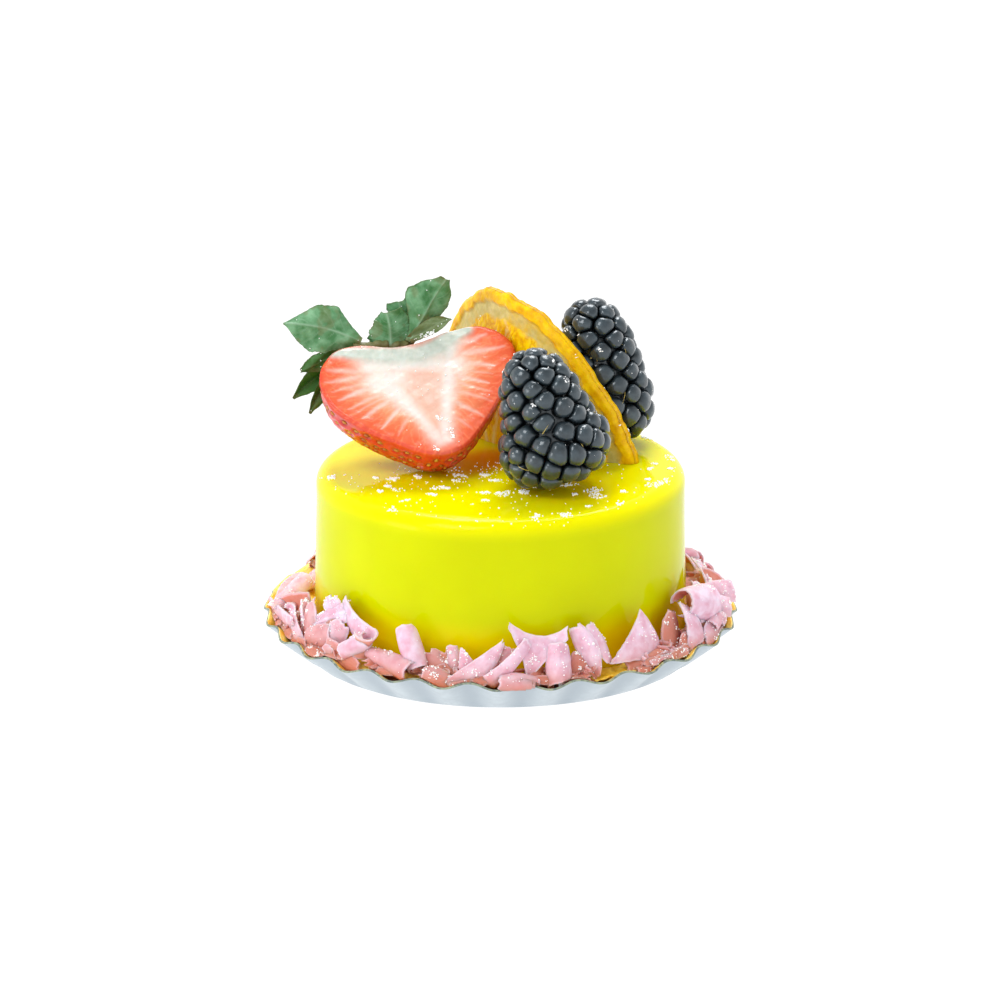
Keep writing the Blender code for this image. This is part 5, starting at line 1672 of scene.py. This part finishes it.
@dataclass
class Heap:
    """The ring of shavings in the case: a bank of broken chocolate under the curled pieces."""

    seed: int = 7
    around: int = 900
    back: Pair = (99.0, 240.0)  # degrees between which the front doesn't show the shavings
    filled: float = 0.3  # a flake needs less of a gap than this where it lies

    def in_gap(self, turn: Array) -> Array:
        """How far places lie in the gaps where foil shows.

        Args:
            turn: Their degrees from the front.

        Returns:
            From 0 to 1 for each, with an eased step at both ends of a gap.
        """
        share = np.zeros(turn.shape)
        for middle, half in FOIL_GAPS:
            apart = np.abs((turn - middle + 180) % 360 - 180)
            share = np.maximum(share, 1 - ease(apart, 0.8 * half, 1.2 * half))
        return share

    def bank(self) -> Body:
        """The bank: a closed ring whose lumpy top falls from the cake to the case's wall.

        In the gaps its top is lower and is bare, creased foil.

        Returns:
            The ring, whose `part` says where it is foil.
        """
        angle = turns(self.around)
        radius, height = np.array(BANK).T[..., None] * MM
        ring = round_points(radius, angle, height)
        gap = self.in_gap(np.degrees(np.arctan2(ring[..., 0], -ring[..., 1])))
        lumps = waves(ring, 4 * MM, 71) * 0.8 * MM + np.abs(waves(ring, 1.5 * MM, 72)) * 0.5 * MM
        ring[..., 2] += ease(height, 5.0 * MM, 6.6 * MM) * (lumps * (1 - 0.5 * gap) - 1.2 * MM * gap)
        quads = grid_quads(len(BANK) + 1, self.around, True) % gap.size
        flat = np.zeros(gap.size)
        # the bank is painted with salmon shade all over
        values = {"deep": flat + 0.85, "inside": flat, "lip": flat}
        body = Body(settled(ring.reshape(-1, 3)), quads, values=values).faced_out()
        body.part = (gap.ravel()[body.quads].mean(axis=1) > 0.5).astype(int)
        return body

    def scattered(self) -> list[Shaving]:
        """The shavings of the back, which the front doesn't show, in turn round the ring.

        Each is drawn from the kinds of `Curl`. Those at either end of the back are lower.

        Returns:
            The shavings, to be made in this order.
        """
        draw = np.random.default_rng(self.seed)
        found = []
        turn, end = self.back
        while turn < end:
            kind = draw.uniform()
            curl = next(option for option in Curl if kind < option.value)
            low = 2.2 * max(0.0, (turn + 18 - end) / 18) + 2.4 * float(ease(np.array(128.0 - turn), 0, 18))
            up = draw.uniform(6.4, 7.8)
            foot = (turn, draw.uniform(42.0, 44.0), up)
            head = (turn + draw.uniform(-7, 7), draw.uniform(38.9, 40.0),
                    draw.uniform(12.0, 15.6) - 1.4 * low)
            if curl is Curl.TUBE:
                width = draw.uniform(10.0, 13.0)
                shape, faces = (width, width, width * 0.9), draw.uniform(-30, 30)
                found.append(Shaving(foot, head, shape, (330, 300), faces))
            elif curl is Curl.PETAL:
                width = draw.uniform(4.5, 9.0)
                shape = (width, width, width * draw.uniform(0.1, 0.9))
                wrap = (draw.uniform(60, 130), draw.uniform(40, 80))
                faces = draw.choice((0.0, 180.0)) + draw.uniform(-25, 25)
                found.append(Shaving(foot, head, shape, wrap, faces, (draw.uniform(0, 0.8), 0)))
            elif curl is Curl.RIBBON:
                width = draw.uniform(2.6, 4.4)
                shape, faces = (width * 0.6, width, width), draw.uniform(-20, 20)
                roll = (draw.uniform(1.3, 2.0), 220)
                found.append(Shaving(head, foot, shape, (70, 60), faces, (0.6, 0.6), roll))
            else:
                width = draw.uniform(8.0, 11.0)
                head = (turn + draw.choice((-11, 11)), draw.uniform(43.0, 44.0), up + 1.0)
                shape, faces = (width, width, width * 1.2), draw.uniform(-60, 0)
                found.append(Shaving(foot, head, shape, (300, 300), faces))
            turn += draw.uniform(4.4, 5.8)
        return found

    def flakes(self) -> list[Shaving]:
        """Broken flakes over the bank all round, but for the gaps, and thinner ones along its foot.

        Returns:
            The flakes, to be made in this order.
        """
        draw = np.random.default_rng(self.seed + 1)
        found = []
        for turn in np.arange(0, 360, 1.6):
            foot = (turn, draw.uniform(38.4, 44.2), draw.uniform(7.2, 8.0))
            head = (turn + draw.uniform(-4, 4), draw.uniform(38.4, 44.2), draw.uniform(7.2, 8.8))
            # deep: painted salmon shade, drawn at random
            width, deep, faces = draw.uniform(1.0, 3.0), draw.uniform(0.1, 0.7), draw.uniform(-70, 10)
            far_enough = math.dist(ring_point(foot), ring_point(head)) > 1.2 * MM
            if self.in_gap(np.array([turn]))[0] < self.filled and far_enough:
                found.append(Shaving(foot, head, (width, width, width * 0.5), (90, 60), faces, deep=deep,
                                     thick=0.4, torn=0.5))
        for turn in np.arange(0, 360, 4.2):
            foot = (turn, draw.uniform(43.6, 44.4), draw.uniform(7.0, 7.5))
            head = (turn + draw.uniform(4, 7), draw.uniform(43.6, 44.4), draw.uniform(7.0, 7.7))
            # deep: painted salmon shade, drawn at random
            width, deep = draw.uniform(1.2, 2.5), draw.uniform(0.35, 0.95)
            if self.in_gap(np.array([turn, turn + 5])).max() < self.filled:
                faces, horns = draw.uniform(-60, -10), tuple(draw.uniform(-0.6, 0.6, 4))
                found.append(Shaving(foot, head, (width * 0.8, width, width * 0.7), (70, 90), faces,
                                     horns=horns, deep=deep, thick=0.45, torn=0.6))
        return found

    def build(self) -> None:
        """Makes the bank and the shavings, in five pieces."""
        chocolate = PinkChocolate().build()
        add_piece("shaving_bank", self.bank(), [chocolate, GoldFoil().build()],
                  ("chocolate_curls",))
        middle = next(k for k, shaving in enumerate(FRONT_SHAVINGS) if shaving.foot[0] > 0)
        groups = (
            ("shavings_left", FRONT_SHAVINGS[:middle], 200, {}),
            ("shavings_right", FRONT_SHAVINGS[middle:], 300, {}),
            ("shavings_back", self.scattered(), 400, {}),
            ("broken_flakes", self.flakes(), 700, {"rows": 14, "columns": 10}),
        )
        for name, shavings, seed, grid in groups:
            bodies = [shaving_body(shaving, seed + number, **grid) for number, shaving in enumerate(shavings)]
            add_piece(name, joined(bodies), [chocolate])


@dataclass(frozen=True)
class Dusting:
    """Where sugar lies on a piece: how many clumps, how many grains each, how wide, and the clumps' places.

    `low` and `high` bound the clumps' middles in mm, and `steep` is the least upward part of their normals.
    """

    piece: str
    clumps: int
    grains: int
    reach: float
    low: Triple = (-50, -50, 0)
    high: Triple = (50, 50, 80)
    steep: float = 0.35
    size: float = 0.24
    spray: float = 0.08


DUSTINGS = (
    Dusting("glazed_round", 40, 30, 0.7, (-34, -34, 35), (34, -6, 40), 0.9, 0.27, 0.25),
    Dusting("glazed_round", 12, 20, 0.6, (14, -6, 35), (34, 22, 40), 0.9, 0.27, 0.25),
    Dusting("glazed_round", 300, 1, 0.05, (-35, -35, 34.5), (35, 2, 40), 0.7, 0.22, 0.5),
    Dusting("shavings_left", 60, 9, 0.55, steep=0.3),
    Dusting("shavings_left", 420, 1, 0.05, steep=0.1, size=0.2),
    Dusting("shavings_right", 56, 9, 0.55, steep=0.3),
    Dusting("shavings_right", 420, 1, 0.05, steep=0.1, size=0.2),
    Dusting("shavings_back", 70, 8, 0.6, steep=0.3),
    Dusting("broken_flakes", 160, 2, 0.3, steep=0.2, size=0.2),
    Dusting("bramble_berry_front", 20, 16, 0.42, (-5, -30, 45), (25, 0, 70), 0.25, 0.2),
    Dusting("bramble_berry_front", 90, 1, 0.05, (-5, -30, 40), (25, 0, 70), 0, 0.17),
    Dusting("bramble_berry_back", 16, 12, 0.42, (5, 0, 48), (35, 25, 75), 0.25, 0.2),
    Dusting("bramble_berry_back", 70, 1, 0.05, (5, 0, 42), (35, 25, 75), 0, 0.17),
    Dusting("half_strawberry", 5, 14, 0.5, (-14, -14, 40), (-4, -6, 48), 0.3, 0.24),
    Dusting("half_strawberry", 34, 1, 0.05, (-36, -16, 38), (6, 16, 62), 0.1, 0.22),
    Dusting("strawberry_leaves", 6, 16, 0.5, (-16, 5, 58), (-8, 14, 66), 0, 0.22),
    Dusting("strawberry_leaves", 60, 1, 0.05, steep=-0.2, size=0.18),
    Dusting("dried_orange_slice", 26, 5, 0.4, steep=0.2, size=0.2),
)


@dataclass
class SugarDust:
    """Icing sugar shaken over everything: grains, alone and in clumps."""

    seed: int = 90

    def on_piece(self, dusting: Dusting, draw: np.random.Generator) -> tuple[Array, Array]:
        """Where one dusting's grains lie: for each clump, mesh points drawn near its middle.

        Args:
            dusting: Which piece, how many grains and where.
            draw: For the clumps and the grains.

        Returns:
            Places in metres and the piece's normals there.
        """
        mesh = bpy.data.objects[dusting.piece].data
        points, normals = np.empty((2, len(mesh.vertices), 3))
        mesh.vertices.foreach_get("co", points.ravel())
        mesh.vertices.foreach_get("normal", normals.ravel())
        fits = np.all((points > np.array(dusting.low) * MM) & (points < np.array(dusting.high) * MM), axis=1)
        fits &= normals[:, 2] > dusting.steep
        points, normals = points[fits], normals[fits]
        chosen, slopes = [], []
        for middle in draw.integers(0, len(points), dusting.clumps):
            grains = max(1, int(dusting.grains * draw.uniform(0.4, 1.5)))
            gap = np.linalg.norm(points - points[middle], axis=1)
            near = np.flatnonzero(gap < abs(draw.normal(1.2, 0.5)) * dusting.reach * MM + 1e-6)
            picked = near[draw.integers(0, len(near), grains)]
            up = normals[picked]
            shift = draw.normal(size=(grains, 3)) * dusting.spray * MM
            shift = shift - np.sum(shift * up, axis=1)[:, None] * up
            chosen.append(points[picked] + shift)
            slopes.append(up)
        return np.concatenate(chosen), np.concatenate(slopes)

    def grains(self, places: Array, normals: Array, size: float, draw: np.random.Generator) -> Body:
        """Rough cubes, each turned at random by a unit quaternion's matrix.

        Args:
            places: In metres, one for each grain.
            normals: Of the surface there.
            size: Of a grain in mm.
            draw: For their turns, sizes and corners.

        Returns:
            All the grains, each a closed box.
        """
        count = len(places)
        cube = np.array([(x, y, z) for z in (-1, 1) for x, y in ((-1, -1), (1, -1), (1, 1), (-1, 1))], float)
        w, x, y, z = unit(draw.normal(size=(count, 4))).T
        turn = np.stack([
            1 - 2 * (y * y + z * z), 2 * (x * y - z * w), 2 * (x * z + y * w),
            2 * (x * y + z * w), 1 - 2 * (x * x + z * z), 2 * (y * z - x * w),
            2 * (x * z - y * w), 2 * (y * z + x * w), 1 - 2 * (x * x + y * y),
        ], axis=-1).reshape(-1, 3, 3)
        half = 0.5 * size * MM * draw.uniform(0.5, 1.15, (count, 1, 1))
        corners = np.einsum("nij,nkj->nki", turn, cube * (half * draw.uniform(0.7, 1.1, (count, 8, 3))))
        points = corners + (places + normals * 0.3 * size * MM)[:, None]
        faces = np.array([(0, 3, 2, 1), (4, 5, 6, 7), (0, 1, 5, 4), (1, 2, 6, 5), (2, 3, 7, 6), (3, 0, 4, 7)])
        quads = (faces[None] + 8 * np.arange(count)[:, None, None]).reshape(-1, 4)
        return Body(points.reshape(-1, 3), quads)

    def build(self) -> None:
        """Makes all the grains as one piece."""
        draw = np.random.default_rng(self.seed)
        bodies = []
        for dusting in DUSTINGS:
            places, normals = self.on_piece(dusting, draw)
            bodies.append(self.grains(places, normals, dusting.size, draw))
        add_piece("sugar_dust", joined(bodies), [Sugar().build()], smooth=False)


def main() -> None:
    """Builds the studio and then the cake, from its case up."""
    logging.basicConfig(level=logging.INFO, format="%(message)s")
    Studio().build()
    PaperCase().build()
    Cake().build()
    Heap().build()
    Strawberry().build()
    Calyx().build()
    OrangeSlice().build()
    skin, hair = BrambleSkin().build(), Style().build()
    front = Bramble("bramble_berry_front", "bramble_front", (12.2 * MM, -14.4 * MM), length=25.8, radius=10.8,
                    lean_left=16.5, drupelets=92, seed=3, taper=0.19, blunt=0.86)
    back = Bramble("bramble_berry_back", "bramble_back", (22.3 * MM, 13.2 * MM), length=28.2, radius=9.1,
                   lean_left=11.4, drupelets=84, seed=5, taper=0.08, blunt=0.76)
    for berry in (front, back):
        berry.build(skin, hair)
    SugarDust().build()


if __name__ == "__main__":
    main()
